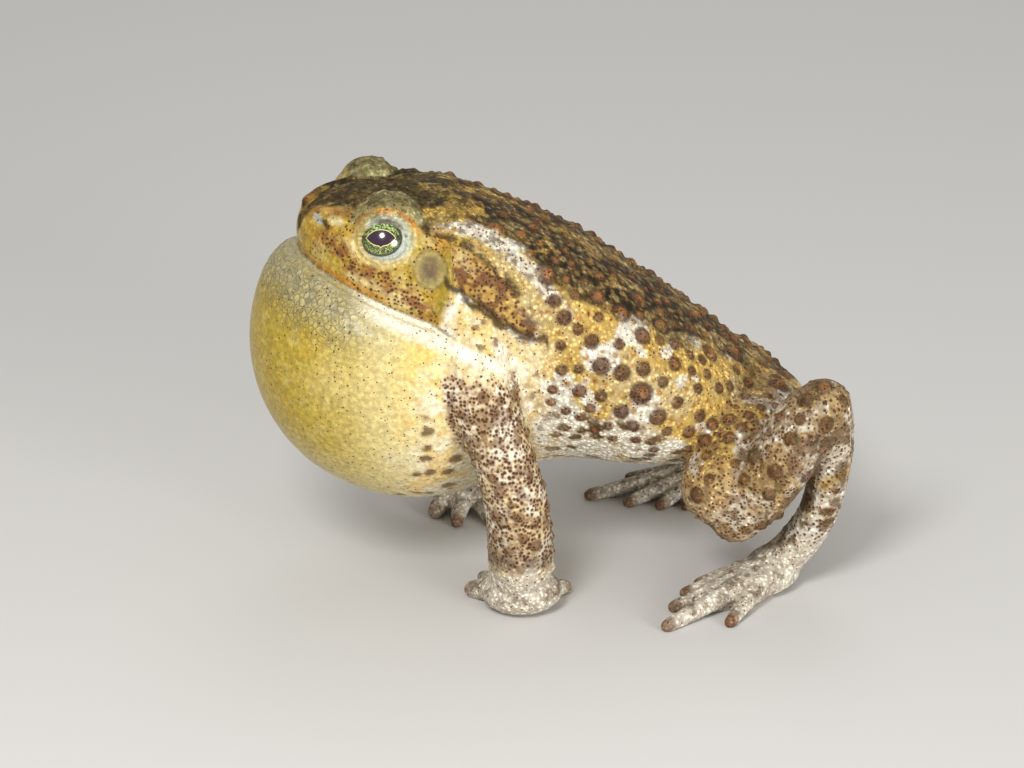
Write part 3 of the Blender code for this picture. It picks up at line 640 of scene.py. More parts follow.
def normals_of(obj):
    normals = np.empty(len(obj.data.vertices) * 3)
    obj.data.vertex_normals.foreach_get("vector", normals)
    return normals.reshape(-1, 3)


def place_points(obj, points):
    obj.data.vertices.foreach_set("co", (points * MM).ravel())
    obj.data.update()


def relax(obj, rounds, strength):
    """Evens the skin by moving each point towards the middle of its neighbours, by its own strength."""
    points = points_of(obj)
    edges = np.empty(len(obj.data.edges) * 2, int)
    obj.data.edges.foreach_get("vertices", edges)
    ends = edges.reshape(-1, 2)
    both = np.concatenate([ends, ends[:, ::-1]])
    count = np.bincount(both[:, 0], minlength=len(points))[:, None]
    share = strength(points)[:, None]
    for _ in range(rounds):
        total = np.stack([np.bincount(both[:, 0], points[both[:, 1], k], len(points)) for k in range(3)], 1)
        points += share * (total / count - points)
    place_points(obj, points)


def fade(distance, reach):
    """1 at no distance, and 0 from the reach on."""
    return (1 - np.clip(distance / reach, 0, 1) ** 2) ** 2


def ramp(value, start, end):
    t = np.clip((value - start) / (end - start), 0, 1)
    return t * t * (3 - 2 * t)


def distance_to_path(points, path):
    path = np.array(path, float)
    nearest = np.full(len(points), np.inf)
    for a, b in zip(path, path[1:]):
        along = np.clip((points - a) @ (b - a) / np.dot(b - a, b - a), 0, 1)
        nearest = np.minimum(nearest, np.linalg.norm(points - a - along[:, None] * (b - a), axis=1))
    return nearest


def skin_strength(points):
    """How far relaxing goes: little on fingers, toes and snout, most on the trunk."""
    y, z = points[:, 1], points[:, 2]
    digits = ramp(z, 7.0, 11.0)
    face = ramp(y - 0.3 * (86 - z), 20.0, 30.0)
    return 0.12 + 0.4 * digits * (0.35 + 0.65 * face)


def shape_eyes(points):
    """Sinks the opening between the lids under the eyeball, and draws the lids up round it."""
    for _, side in SIDES:
        centre = np.array(mirrored(EYE_CENTRE, side))
        out, back, up = frame_of(mirrored(EYE_OUT, side), mirrored(EYE_BACK, side))
        up = up * side
        reach = points - centre
        sideways = reach - np.outer(reach @ out, out)
        oval = np.hypot(reach @ back / LID_OPENING[0], reach @ up / LID_OPENING[1])
        facing = (reach @ out > 0) & (np.linalg.norm(reach, axis=1) < LID_REACH)
        for edge in (LID_FOOT, 1.0):
            close = facing & (np.abs(oval - edge) < LID_SNAP)
            reach[close] += sideways[close] * (edge / oval[close] - 1)[:, None]
            oval[close] = edge
        far = np.linalg.norm(reach, axis=1)
        fold = 0.4 * fade(oval - 1.45, 0.3) * ramp(reach @ up, 0.5, 2.5)
        lid = np.maximum(EYE_RADIUS + LID_HEIGHT + fold, np.where(oval < 1.3, 0, far))
        target = np.where(oval < 0.5 * (1 + LID_FOOT), EYE_RADIUS - 1.2, lid)
        held = (1 - ramp(oval, 1.25, 2.3)) * facing
        points[facing] = (centre + reach * (1 + held * (target / far - 1))[:, None])[facing]


def mouth_frame(points):
    """Across, back and down of each point, in the frame of the mouth."""
    c, s = math.cos(MOUTH_PITCH), math.sin(MOUTH_PITCH)
    back = points[:, 1] * c - (points[:, 2] - LIP_HEIGHT) * s
    down = -points[:, 1] * s - (points[:, 2] - LIP_HEIGHT) * c
    return points[:, 0], back, down


def mouth_rise(points):
    """The groove of the mouth with the swollen upper lip above it."""
    across, back, down = mouth_frame(points)
    ahead = 1 - ramp(back, 24.5, 29.0)
    outer = ramp(np.hypot(across / JAW_HALF_WIDTH, (back - JAW_LENGTH) / JAW_LENGTH), 0.75, 0.9)
    lip = 0.5 * fade(down + 1.7, 1.7)
    groove = -1.0 * fade(down, 0.9)
    return ahead * outer * (lip + groove)


def ear_rise(points, side):
    """A low rim round the eardrum, and the drum a little sunk inside it."""
    _, back, up = frame_of(mirrored(EAR_OUT, side), (0, 1, 0))
    reach = points - mirrored(EAR_CENTRE, side)
    oval = np.hypot(reach @ back / EAR_RADII[0], reach @ up / EAR_RADII[1])
    near = np.linalg.norm(reach, axis=1) < EAR_REACH
    return near * (0.45 * fade(oval - 1.15, 0.35) - 0.35 * fade(oval, 1.1))


def nostril_rise(points, side):
    bump = 0.4 * fade(np.linalg.norm(points - (4.8 * side, 3.0, 81.6), axis=1), 2.4)
    pit = -1.3 * fade(distance_to_path(points, ((4.5 * side, 2.3, 81.8), (5.6 * side, 3.4, 80.6))), 0.9)
    return bump + pit


def settled(tree, path, side):
    """The path with each of its points moved to the nearest place on the skin."""
    return [Vector(tree.find_nearest(Vector(mirrored(p, side)) * MM)[0]) / MM for p in path]


class Warts:
    """Seeded warts, as rows of place and radius, none touching another."""

    def __init__(self, tree, seed):
        self.tree = tree
        self.rng = random.Random(seed)
        self.rows = np.empty((MOST_WARTS, 4))
        self.count = 0

    def found(self):
        return self.rows[: self.count]

    def avoid(self, rows, share):
        """Keeps clear of larger warts that are already there, but for a share of their radius."""
        for row in rows:
            self.rows[self.count] = (*row[:3], row[3] * share)
            self.count += 1

    def add(self, origin, way, radius, reach, space):
        hit, _, _, _ = self.tree.ray_cast(Vector(origin) * MM, Vector(way), reach * MM)
        if hit is None:
            return
        place = np.array(hit) / MM
        others = self.found()
        if np.all(np.linalg.norm(others[:, :3] - place, axis=1) > radius + others[:, 3] + space):
            self.rows[self.count] = (*place, radius)
            self.count += 1


def wart_places(tree):
    """The large warts of the part, on the trunk and on the legs."""
    warts = Warts(tree, 11)
    rng = warts.rng
    rows = np.array(TORSO_ROWS)
    for _ in range(TRUNK_WART_TRIES):
        y, angle = rng.uniform(33, 106), rng.uniform(-0.35, math.pi + 0.35)
        middle = np.interp(y, rows[:, 0], rows[:, 3])
        height = math.sin(angle)
        flank = ramp(height, -0.3, 0.2) * (1 - 0.5 * ramp(height, 0.75, 0.95))
        radius = TRUNK_WART_RADIUS + TRUNK_WART_RANGE * rng.random() ** 1.6 * flank
        if y > SMOOTH_CHEST_END or height > SMOOTH_CHEST_TOP:
            warts.add((0, y, middle), (math.cos(angle), 0, height), radius, 40, WART_SPACE)
    for name, side in SIDES:
        limbs = ((THIGH[name][1:], THIGH_WARTS), (SHANK[name], SHANK_WARTS), (ARM[2:6], ARM_WARTS))
        for rows, (radius, tries) in limbs:
            path = smooth_rows(rows, 6)
            for _ in range(tries):
                x, y, z, thick = path[rng.randrange(len(path))]
                way = unit((side * rng.uniform(0.1, 1), rng.uniform(-1, 1), rng.uniform(-0.8, 1)))
                warts.add((x * side, y, z), way, radius * rng.uniform(0.7, 1.15), thick * 1.35, WART_SPACE)
    return warts.found()


def small_wart_places(tree, large):
    """Smaller tubercles between the large warts, and on the crown, the lids and the limbs."""
    warts = Warts(tree, 29)
    rng = warts.rng
    warts.avoid(large, 0.85)
    rows = np.array(TORSO_ROWS)
    for _ in range(SMALL_TRUNK_TRIES):
        y, angle = rng.uniform(16, 108), rng.uniform(-0.6, math.pi + 0.6)
        middle = np.interp(y, rows[:, 0], rows[:, 3])
        way = (math.cos(angle), 0, math.sin(angle))
        warts.add((0, y, middle), way, rng.uniform(0.5, 0.95), 40, 0.12)
    for name, side in SIDES:
        limbs = (THIGH[name][1:], SHANK[name], TARSUS[name][:4], ARM[1:])
        for rows, tries in zip(limbs, SMALL_LIMB_TRIES):
            path = smooth_rows(rows, 6)
            for _ in range(tries):
                x, y, z, thick = path[rng.randrange(len(path))]
                way = unit((side * rng.uniform(-0.6, 1), rng.uniform(-1, 1), rng.uniform(-1, 1)))
                warts.add((x * side, y, z), way, rng.uniform(0.4, 0.75), thick * 1.35, 0.1)
    return warts.found()[len(large) :]


def wart_reach(points, warts):
    """Distance to the nearest wart as a share of its radius, up to 2, and the radius of that wart."""
    nearest, size = np.full(len(points), 2.0), np.zeros(len(points))
    order = np.argsort(points[:, 1])
    along = points[order, 1]
    for x, y, z, radius in warts:
        start, end = np.searchsorted(along, (y - 2 * radius, y + 2 * radius))
        here = order[start:end]
        share = np.linalg.norm(points[here] - (x, y, z), axis=1) / radius
        closer = share < nearest[here]
        nearest[here[closer]] = share[closer]
        size[here[closer]] = radius
    for _, side in SIDES:
        nearest[np.linalg.norm(points - mirrored(GLAND_CENTRE, side), axis=1) < GLAND_SMOOTH] = 2.0
    return nearest, size


def crease_share(down, back):
    """How creased the sac is: at the front, below the jaw."""
    return ramp(down, 0.5, 2.0) * (1 - ramp(down, 9.0, 16.0)) * (1 - ramp(back, 4.0, 22.0))


def crease_lumps(points):
    """Skin lumps, with a net of fine creases where they are low."""
    return value_noise(points, 1.3, 5) + 0.5 * value_noise(points, 0.7, 6)


def sac_wrinkles(points):
    """A net of fine creases where the sac hangs from the front of the jaw."""
    _, back, down = mouth_frame(points)
    return crease_share(down, back) * 0.32 * (crease_lumps(points) - 0.75)


def shape_skin(skin):
    """Adds every raised and sunk feature to the relaxed skin, and flattens what is under the floor."""
    relax(skin, RELAX_ROUNDS, skin_strength)
    tree = BVHTree.FromObject(skin, bpy.context.evaluated_depsgraph_get())
    warts = wart_places(tree)
    small = small_wart_places(tree, warts)
    points, normals = points_of(skin), normals_of(skin)
    reach, size = wart_reach(points, warts)
    small_reach, small_size = wart_reach(points, small)
    rise = mouth_rise(points) + sac_wrinkles(points)
    rise += WART_STEEPNESS * size * fade(reach, 1.0) + 0.34 * small_size * fade(small_reach, 1.0)
    rise += 0.05 * (value_noise(points, 0.8, 7) - 0.5) * ramp(points[:, 2], 5, 10)
    for _, side in SIDES:
        rise += ear_rise(points, side) + nostril_rise(points, side)
        for width, height, path in RIDGES:
            rise += height * fade(distance_to_path(points, settled(tree, path, side)), width)
    points += rise[:, None] * normals
    shape_eyes(points)
    points[:, 2] = np.maximum(points[:, 2], 0)
    place_points(skin, points)
    return reach, small_reach


def whole_toad():
    """The fine skin, with the distance of each point to its nearest large and small wart."""
    toad = one_mesh("toad_skin", list(body_forms()))
    remesh = toad.modifiers.new("one_skin", "REMESH")
    remesh.mode = "VOXEL"
    remesh.voxel_size = SKIN_VOXEL * MM
    apply_modifiers(toad)
    return (toad, *shape_skin(toad))


def hashed(cells, seed):
    """A draw from 0 to 1 for each whole-numbered cell."""
    key = cells @ np.array([73856093, 19349663, 83492791]) + seed * 2654435
    key = (key ^ (key >> 13)) * 1274126177 & 0x7FFFFFFF
    return ((key >> 7) % 4096) / 4095


def value_noise(points, size, seed):
    """Smooth noise from 0 to 1 with lumps of about that size."""
    place = points / size + seed * 17.31
    cell = np.floor(place).astype(np.int64)
    t = place - cell
    t = t * t * (3 - 2 * t)
    total = np.zeros(len(points))
    for step in itertools.product((0, 1), repeat=3):
        weight = np.prod(np.where(step, t, 1 - t), axis=1)
        total += weight * hashed(cell + step, seed)
    return total


def fractal(points, size, seed):
    """Three layers of noise, from coarse to fine, spread over 0 to 1."""
    total = sum(value_noise(points, size / 2**k, seed + k) * 0.5**k for k in range(3)) / 1.75
    return np.clip((total - 0.5) * 1.9 + 0.5, 0, 1)


def scattered(points, size, seed):
    """Distance to the nearest of many scattered places, as a share of the size, and that place's draw."""
    place = points / size + seed * 7.13
    cell = np.floor(place).astype(np.int64)
    nearest, draw = np.full(len(points), 9.0), np.zeros(len(points))
    for step in itertools.product((-1, 0, 1), repeat=3):
        corner = cell + step
        middle = corner + 0.1 + 0.8 * np.stack([hashed(corner, seed + k) for k in range(3)], 1)
        distance = np.linalg.norm(place - middle, axis=1)
        closer = distance < nearest
        nearest = np.where(closer, distance, nearest)
        draw = np.where(closer, hashed(corner, seed + 3), draw)
    return nearest, draw


def photo_plane(points):
    """Where a point of the left side shows in the photograph, in pixels. The right side is mirrored."""
    left = (np.abs(points[:, 0]), points[:, 1], points[:, 2])
    reach = [value - middle for value, middle in zip(left, LOOK_AT)]
    views = (VIEW_RIGHT, VIEW_UP, VIEW_BACK)
    across, rise, near = (sum(a * b for a, b in zip(reach, view)) for view in views)
    grow = PHOTO_SCALE * CAMERA_DISTANCE / (CAMERA_DISTANCE - near)
    return np.stack([PHOTO_MIDDLE[0] + grow * across, PHOTO_MIDDLE[1] - grow * rise], 1)


def near_path(places, path, reach):
    """1 on the path and 0 from the reach on, in pixels."""
    return fade(distance_to_path(places, path), reach)


def over_line(places, line):
    """How far each place lies above a line that runs from left to right, in pixels."""
    line = np.array(line, float)
    return np.interp(places[:, 0], line[:, 0], line[:, 1]) - places[:, 1]


def band(value, width):
    """1 where the value is 0, and 0 from the width on to either side."""
    return fade(np.abs(value), width)


def blend(colour, other, weight):
    """Colours moved towards another one by the weight of each point."""
    return colour + (np.array(other) - colour) * weight[:, None]


def inside_outline(places, outline):
    """1 inside a closed outline and 0 outside it, with a soft edge, in pixels."""
    inside = np.zeros(len(places), bool)
    corners = np.array(outline, float)
    for (x0, y0), (x1, y1) in zip(corners, np.roll(corners, -1, axis=0)):
        spans = (y0 > places[:, 1]) != (y1 > places[:, 1])
        slope = (x1 - x0) / (y1 - y0) if y1 != y0 else 0.0
        inside ^= spans & (places[:, 0] < x0 + slope * (places[:, 1] - y0))
    edge = distance_to_path(places, [*outline, outline[0]])
    return ramp(np.where(inside, edge, -edge), -1.5, 1.5)


class Paint:
    """The colour of each point of the skin, and its specks, their halo, creases, grain and roughness."""

    def __init__(self, points, normals, reach, small_reach):
        self.points, self.normals = points, normals
        self.places = photo_plane(points)
        self.colour = np.tile(CREAM, (len(points), 1))
        self.marks = {
            "specks": np.zeros(len(points)),
            "halo": np.zeros(len(points)),
            "crease": np.zeros(len(points)),
            "grain": np.ones(len(points)),
            "rough": np.full(len(points), 0.42),
        }
        # Share of a large wart, of its ring and of its top, and of a small tubercle
        self.dome = 1 - ramp(reach, 0.86, 1.08)
        self.ring = band(reach - 0.95, 0.26)
        self.top = 1 - ramp(reach, 0.25, 0.62)
        self.tubercle = 1 - ramp(small_reach, 0.5, 1.0)
        self.arms = self.limbs(ARM[1:], ARM[1:], 1.0)
        thighs = self.limbs(THIGH["left"][1:], THIGH["right"][1:], 1.2)
        shanks = self.limbs(SHANK["left"], SHANK["right"], 1.2)
        self.legs = np.maximum(thighs, shanks)
        self.shins = np.maximum(shanks, self.limbs(TARSUS["left"], TARSUS["right"], 1.2))
        self.ends = 1 - ramp(points[:, 2], 7, 13)

    def limbs(self, left, right, thicker):
        """How far each point belongs to a pair of limbs, from the distance to their middle lines."""
        nearest = np.full(len(self.points), np.inf)
        for rows, (_, side) in zip((left, right), SIDES):
            for x, y, z, radius in smooth_rows([mirrored(row, side) for row in rows], 4):
                share = np.linalg.norm(self.points - (x, y, z), axis=1) / (radius + thicker)
                nearest = np.minimum(nearest, share)
        return 1 - ramp(nearest, 0.95, 1.12)

    def lay(self, colour, weight):
        """Lays a colour over what is there."""
        self.colour = blend(self.colour, colour, weight)

    def mark(self, weight, **values):
        """Moves the named marks towards their new values."""
        for name, value in values.items():
            self.marks[name] = self.marks[name] * (1 - weight) + value * weight

    def noise(self, size, seed, start, end, stretch=(1.0, 1.0, 1.0)):
        """Patches of about that size, from 0 to 1 between the start and the end."""
        return ramp(fractal(self.points * stretch, size, seed), start, end)

    def fray(self, width, size, seed, stretch=(1.0, 1.0, 1.0)):
        """Lumps of about that size that reach half the width to either side of 0, to fray an edge."""
        return width * (fractal(self.points * stretch, size, seed) - 0.5)

    def above(self, line):
        return over_line(self.places, line)

    def near(self, path, reach):
        return near_path(self.places, path, reach)


def paint_flank(paint):
    """Yellow with white patches and orange dots above, white with long dark spots below."""
    z, down = paint.points[:, 2], -paint.normals[:, 2]
    paint.lay(YELLOW, paint.noise(9, 3, 0.2, 0.6) * 0.85)
    paint.lay(OLIVE, paint.noise(4, 7, 0.5, 0.75) * 0.35)
    paint.lay(WHITE, paint.noise(6, 41, 0.60, 0.67, (1, 0.75, 1)) * 0.92)
    paint.lay(ORANGE_DOT, paint.tubercle * 0.85)
    paint.mark(np.ones(len(z)), specks=0.55, halo=0.35)
    belly = ramp(paint.fray(26, 8, 19) - paint.above(BELLY_LINE), -5, 7)
    belly = np.maximum(belly, ramp(down, 0.35, 0.7)) * (1 - paint.legs)
    paint.lay(WHITE, belly * 0.95)
    paint.lay(CREAM, belly * paint.noise(5, 29, 0.55, 0.75) * 0.55)
    paint.mark(belly, specks=0.22, halo=0.0)
    chest = (1 - ramp(paint.places[:, 0], 525, 570)) * ramp(-paint.above(GLAND_FOOT), 0, 8) * (z > 20)
    paint.lay(WHITE, chest * 0.5)
    paint.lay(CREAM, chest * paint.noise(3.5, 33, 0.40, 0.55, (1, 1, 0.7)) * 0.8)
    paint.lay(YELLOW, chest * paint.noise(2.5, 181, 0.52, 0.62, (1, 1, 0.6)) * 0.6)
    far, draw = scattered(paint.points * (1.0, 1.0, 0.8), 2.2, 183)
    far = far + paint.fray(0.25, 1.2, 185)
    paint.lay(BLOTCH_BROWN, chest * (draw < 0.35) * (1 - ramp(far, 0.28, 0.38)) * 0.8)
    paint.mark(chest, specks=0.5, halo=0.2, grain=0.5)
    far, draw = scattered(paint.points * (1.0, 0.65, 0.9), 2.8, 61)
    far = far + paint.fray(0.22, 1.6, 67)
    here = belly * (draw < 0.85) * ramp(z, 14, 18) * (1 - ramp(down, 0.75, 0.95)) * (1 - chest)
    paint.lay(ORANGE_DOT, here * (1 - ramp(far, 0.42, 0.54)) * 0.5)
    paint.lay(BLOTCH_BROWN, here * (1 - ramp(far, 0.35, 0.41)) * 0.93)


def paint_back(paint):
    """Dark bands along the back with tan and cream between them, and a white stripe above the gland."""
    stretch = (1.0, 0.45, 1.0)
    above = paint.above(BACK_LINE)
    ragged = paint.fray(18, 5, 11, stretch)
    back = ramp(above + ragged, -5, 6) * ramp(paint.normals[:, 2], -0.1, 0.25)
    wave = np.sin(2 * math.pi * (above + paint.fray(16, 9, 3)) / 27 - 0.8)
    tan = ramp(wave + paint.fray(1.6, 5, 11, stretch), 0.2, 0.75)
    dark = blend(np.tile(BACK_DARK, (len(above), 1)), BACK_BROWN, paint.noise(2.2, 23, 0.35, 0.75) * 0.8)
    dark = blend(dark, TAN, tan * 0.85)
    dark = blend(dark, BACK_CREAM, paint.noise(3.2, 17, 0.64, 0.73, stretch) * (0.25 + 0.5 * tan))
    dark = blend(dark, BACK_CREAM, paint.noise(1.5, 157, 0.60, 0.74) * (0.35 + 0.4 * tan))
    nape = 1 - ramp(paint.places[:, 0] + paint.fray(90, 6, 161), 500, 580)
    streaks = paint.noise(3.2, 163, 0.47, 0.57, (1.0, 0.35, 1.0))
    dark = blend(dark, NAPE_YELLOW, nape * streaks)
    dark = blend(dark, BACK_DARK, paint.noise(1.5, 159, 0.58, 0.70) * 0.8)
    dark = blend(dark, BACK_DARK, nape * paint.noise(3.0, 165, 0.50, 0.58, (1.0, 0.35, 1.0)) * 0.95)
    paint.colour = blend(paint.colour, dark, back)
    paint.mark(back, specks=0.35, halo=0.0, rough=0.56)
    stripe = np.clip(paint.near(STRIPE, 10) * 1.7, 0, 1) * paint.noise(4, 31, 0.2, 0.5)
    paint.lay(WHITE, stripe * 0.85)
    paint.lay(BLOTCH_BROWN, stripe * paint.noise(1.6, 167, 0.58, 0.68) * 0.7)
    paint.mark(stripe, specks=0.85)
    return back


def paint_warts(paint, back):
    """Large warts are brown or orange inside a dark ring, and small ones on the back are tan."""
    paint.lay(BACK_CREAM, back * paint.tubercle * 0.4)
    marked = np.maximum(back, ramp(paint.places[:, 0], 515, 545))
    body = blend(np.tile(WART_BROWN, (len(back), 1)), WART_TAN, paint.noise(1.7, 37, 0.45, 0.7) * 0.55)
    body = blend(body, TAN, back * paint.noise(6, 81, 0.45, 0.6) * 0.7)
    orange = paint.noise(6, 77, 0.47, 0.60) * (0.6 + 0.3 * back)
    body = blend(body, WART_ORANGE, paint.top * orange)
    paint.colour = blend(paint.colour, body, paint.dome * marked * (0.93 - 0.4 * back * (1 - orange)))
    paint.lay(BACK_DARK, paint.ring * marked * (0.35 + 0.3 * back))
    paint.mark(paint.dome * marked, specks=0.9, halo=0.0, rough=0.45)


def paint_legs(paint):
    """Yellow thigh, knee and shank growing pale downwards, greyer towards the heel."""
    z = paint.points[:, 2]
    bare = 1 - paint.dome
    paint.lay(LEG_CREAM, paint.legs * bare * (1 - ramp(z, 20, 36)) * 0.75)
    paint.lay(GREY_CREAM, paint.shins * bare * ramp(z, 24, 36) * 0.6)
    paint.lay(WHITE, paint.shins * bare * paint.noise(3.5, 57, 0.55, 0.65) * 0.7)
    paint.lay(BLOTCH_BROWN, paint.shins * paint.noise(3.0, 55, 0.56, 0.66, (1, 1, 0.7)) * 0.8)
    paint.lay(WART_TAN, paint.legs * bare * paint.noise(2.2, 169, 0.56, 0.66) * 0.6)
    paint.lay(WART_TAN, paint.legs * bare * paint.tubercle * 0.7)
    paint.mark(paint.legs * bare, specks=0.85, halo=0.6)
    paint.mark(paint.shins * bare, specks=0.9, halo=0.6)
    paint.mark(paint.legs * paint.tubercle, specks=1.0, halo=0.9)


def paint_arms(paint):
    """Cream, packed with dark granules in brown halos, with a grey band above a white wrist."""
    z = paint.points[:, 2]
    arms = paint.arms * ramp(paint.fray(24, 3, 73) - paint.above(SHOULDER_LINE), -10, 24)
    arms = np.maximum(arms, paint.arms * (1 - ramp(z, 36, 44)))
    paint.lay(ARM_CREAM, arms)
    paint.lay(CREAM, arms * paint.noise(6, 79, 0.4, 0.6) * 0.5)
    paint.lay(WHITE, arms * paint.noise(3, 171, 0.58, 0.68) * 0.7)
    paint.lay(WART_BROWN, arms * paint.noise(2.2, 71, 0.54, 0.64) * ramp(z, 16, 26) * 0.6)
    paint.lay(ARM_GREY, arms * band(z - 14.5, 3.2) * paint.noise(2, 75, 0.25, 0.6) * 0.8)
    paint.lay(WART_BROWN, arms * paint.dome * ramp(z, 12, 18) * 0.75)
    paint.lay(WART_TAN, arms * paint.top * ramp(z, 12, 18) * 0.5)
    paint.lay(WHITE, arms * (1 - ramp(z, 8, 13)) * 0.6)
    paint.mark(arms, specks=1.0, halo=0.85, rough=0.42)
    paint.mark(arms * (1 - ramp(z, 10, 15)), specks=0.6, halo=0.3)
    return arms


def paint_digits(paint):
    """Pale hands and feet with small dark marks and brown tips."""
    paint.lay(PALE_SKIN, paint.ends)
    paint.lay(WHITE, paint.ends * paint.noise(3, 173, 0.4, 0.6) * 0.6)
    marked = paint.ends * ramp(paint.normals[:, 2], -0.2, 0.3)
    paint.lay(BLOTCH_BROWN, marked * paint.noise(1.7, 83, 0.62, 0.72) * 0.6)
    tips = np.min([np.linalg.norm(paint.points - place, axis=1) for place in digit_ends()], axis=0)
    paint.lay(TIP_BROWN, 1 - ramp(tips, 0.8, 2.8))
    paint.mark(paint.ends, specks=0.5, halo=0.2)


def paint_sac(paint, arms):
    """Glossy yellow, pale below and behind partly as its own colour and partly as painted light, grey and
    creased under the lip with painted shade in the creases, brown-spotted on the chest.
    """
    _, back, down = mouth_frame(paint.points)
    x, y, z = paint.points.T
    u, v = paint.places.T
    sac = ramp(down, -0.4, 0.3) * (1 - ramp(back, 58, 62)) * (1 - ramp(y, 40, 47))
    sac = sac * (1 - arms) * (1 - paint.ends)
    yellow = blend(np.tile(SAC_YELLOW, (len(z), 1)), SAC_GOLD, paint.noise(6, 87, 0.4, 0.8) * 0.45)
    yellow = blend(yellow, SAC_PALE, paint.noise(1.4, 89, 0.5, 0.9) * 0.2)
    # Paler towards the back and below: partly the sac's own colour, partly painted light, with the front kept
    # darker as painted shade
    pale = ramp(u + paint.fray(30, 9, 175), 290, 400)
    yellow = blend(yellow, SAC_PALE, np.maximum(pale, 1 - ramp(z, 16, 44)) * 0.75)
    rear = u + 0.25 * (v - 400)
    chest = ramp(rear + paint.fray(40, 5, 177), 385, 455) * ramp(v, 350, 410)
    yellow = blend(yellow, WHITE, np.maximum(ramp(y, 32, 44), chest) * 0.5)
    yellow = blend(yellow, YELLOW, ramp(u, 380, 420) * paint.noise(3, 97, 0.48, 0.62, (0.7, 0.7, 1)) * 0.6)
    grey = (1 - ramp(down, 4, 12)) * (1 - ramp(back, 6, 24))
    yellow = blend(yellow, SAC_GREY, grey * (0.5 + 0.5 * fractal(paint.points, 2.0, 93)))
    creased = crease_share(down, back)
    low = 1 - ramp(crease_lumps(paint.points), 0.45, 0.66)
    # Painted shade in the low places of the creased sac
    yellow = blend(yellow, SAC_CREASE_SHADE, low * creased * 0.4)
    yellow = blend(yellow, WHITE, (1 - ramp(down, 1.6, 4.0)) * ramp(back, 8, 16) * 0.75)
    paint.colour = blend(paint.colour, yellow, sac)
    paint.mark(sac, specks=0.5, halo=0.0, grain=0.28, rough=0.33, crease=creased)
    far, draw = scattered(paint.points * (0.8, 0.8, 0.75), 3.0, 107)
    far = far + paint.fray(0.25, 1.4, 109)
    here = sac * (draw < 0.95) * ramp(rear, 408, 424) * ramp(v, 376, 392) * (np.abs(x) > 6)
    paint.lay(ORANGE_DOT, here * (1 - ramp(far, 0.40, 0.50)) * 0.4)
    paint.lay(BLOTCH_BROWN, here * (1 - ramp(far, 0.30, 0.38)) * 0.85)


def paint_head(paint):
    """Yellow face with rust and orange markings, a dark and olive crown with a band of painted shade along
    its edge above the face, and painted shade in the groove under the lip.
    """
    _, _, down = mouth_frame(paint.points)
    (u, v), y = paint.places.T, paint.points[:, 1]
    above = paint.above(CROWN_LINE)
    face = (1 - ramp(down, -0.5, 0.2)) * (1 - ramp(u + 0.35 * (v - 300), 444, 456)) * (y < 36)
    face = face * (1 - ramp(above, 3, 8))
    yellow = blend(np.tile(FACE_YELLOW, (len(u), 1)), FACE_GOLD, paint.noise(7, 99, 0.4, 0.65) * 0.6)
    yellow = blend(yellow, PALE_LIP, paint.noise(3.5, 103, 0.6, 0.75) * 0.2)
    pale = np.maximum(paint.near(PALE_CHEEK, 9), paint.near(PALE_UNDER_EYE, 8) * 0.6)
    yellow = blend(yellow, PALE_LIP, pale * 0.5)
    under = paint.near(UNDER_EYE, 15)
    rust = under * paint.noise(1.2, 101, 0.42, 0.6)
    yellow = blend(yellow, RUST, np.maximum(rust * 0.85, paint.near(RUST_BLOTCH, 6)))
    lip = paint.near(LIP, 8) * ramp(u, 296, 318) * (1 - ramp(u, 350, 400))
    yellow = blend(yellow, ORANGE, lip * 0.8)
    yellow = blend(yellow, RUST, paint.near(CANTHUS, 10) * (0.35 + 0.5 * fractal(paint.points, 2, 105)))
    yellow = blend(yellow, ORANGE, paint.near(BEHIND_EYE, 14) * 0.6)
    yellow = blend(yellow, FOLD_OLIVE, paint.near(FOLD, 12) * 0.8)
    paint.colour = blend(paint.colour, yellow, face)
    paint.mark(face, specks=0.92, halo=0.3, grain=0.45, rough=0.36)
    paint.mark(face * (1 - ramp(u, 330, 352)), specks=0.4)
    paint.mark(face * under, specks=0.95, halo=0.8)
    paint.mark(face * paint.near(FOLD, 12), specks=0.0)
    paint.lay(NOSTRIL_BLUE, face * paint.near(NOSTRIL_FLAP, 5))
    paint.lay(PALE_LIP, face * paint.near(NOSTRIL_BUMP, 7) * 0.9)
    # Painted shade in the pit of the nostril
    paint.lay(CROWN_DARK, face * paint.near(NOSTRIL_PIT_SHADE, 4))

    crown = ramp(above + paint.fray(8, 2.4, 23), -2, 3)
    crown = crown * (1 - ramp(u + paint.fray(70, 5, 179), 410, 460))
    olive = np.tile(CROWN_OLIVE, (len(u), 1))
    olive = blend(olive, CROWN_TAN, paint.noise(2.6, 113, 0.45, 0.62, (1, 0.6, 1)) * 0.85)
    patches = paint.noise(6, 117, 0.5, 0.62, (1, 0.6, 1)) * 0.85
    # A band of painted shade along the crown's edge above the face, joined with dark patches of the crown's
    # own colour
    shade_band_and_patches = np.maximum(band(above, 13) * ramp(u, 330, 345), patches)
    olive = blend(olive, CROWN_DARK, shade_band_and_patches * 0.9)
    olive = blend(olive, BACK_CREAM, paint.noise(1.5, 121, 0.62, 0.74) * 0.3)
    olive = blend(olive, CROWN_DARK, paint.noise(1.4, 119, 0.5, 0.64) * 0.8)
    paint.colour = blend(paint.colour, olive, crown * (down < 0))
    paint.mark(crown * (down < 0), specks=0.6, halo=0.2, grain=1.0, rough=0.68)
    # Painted shade in the groove under the upper lip
    lip_groove_shade = band(down + 0.1, 0.5) * (y < 36) * (1 - paint.arms)
    paint.lay(GROOVE_SHADE, lip_groove_shade * 0.75)


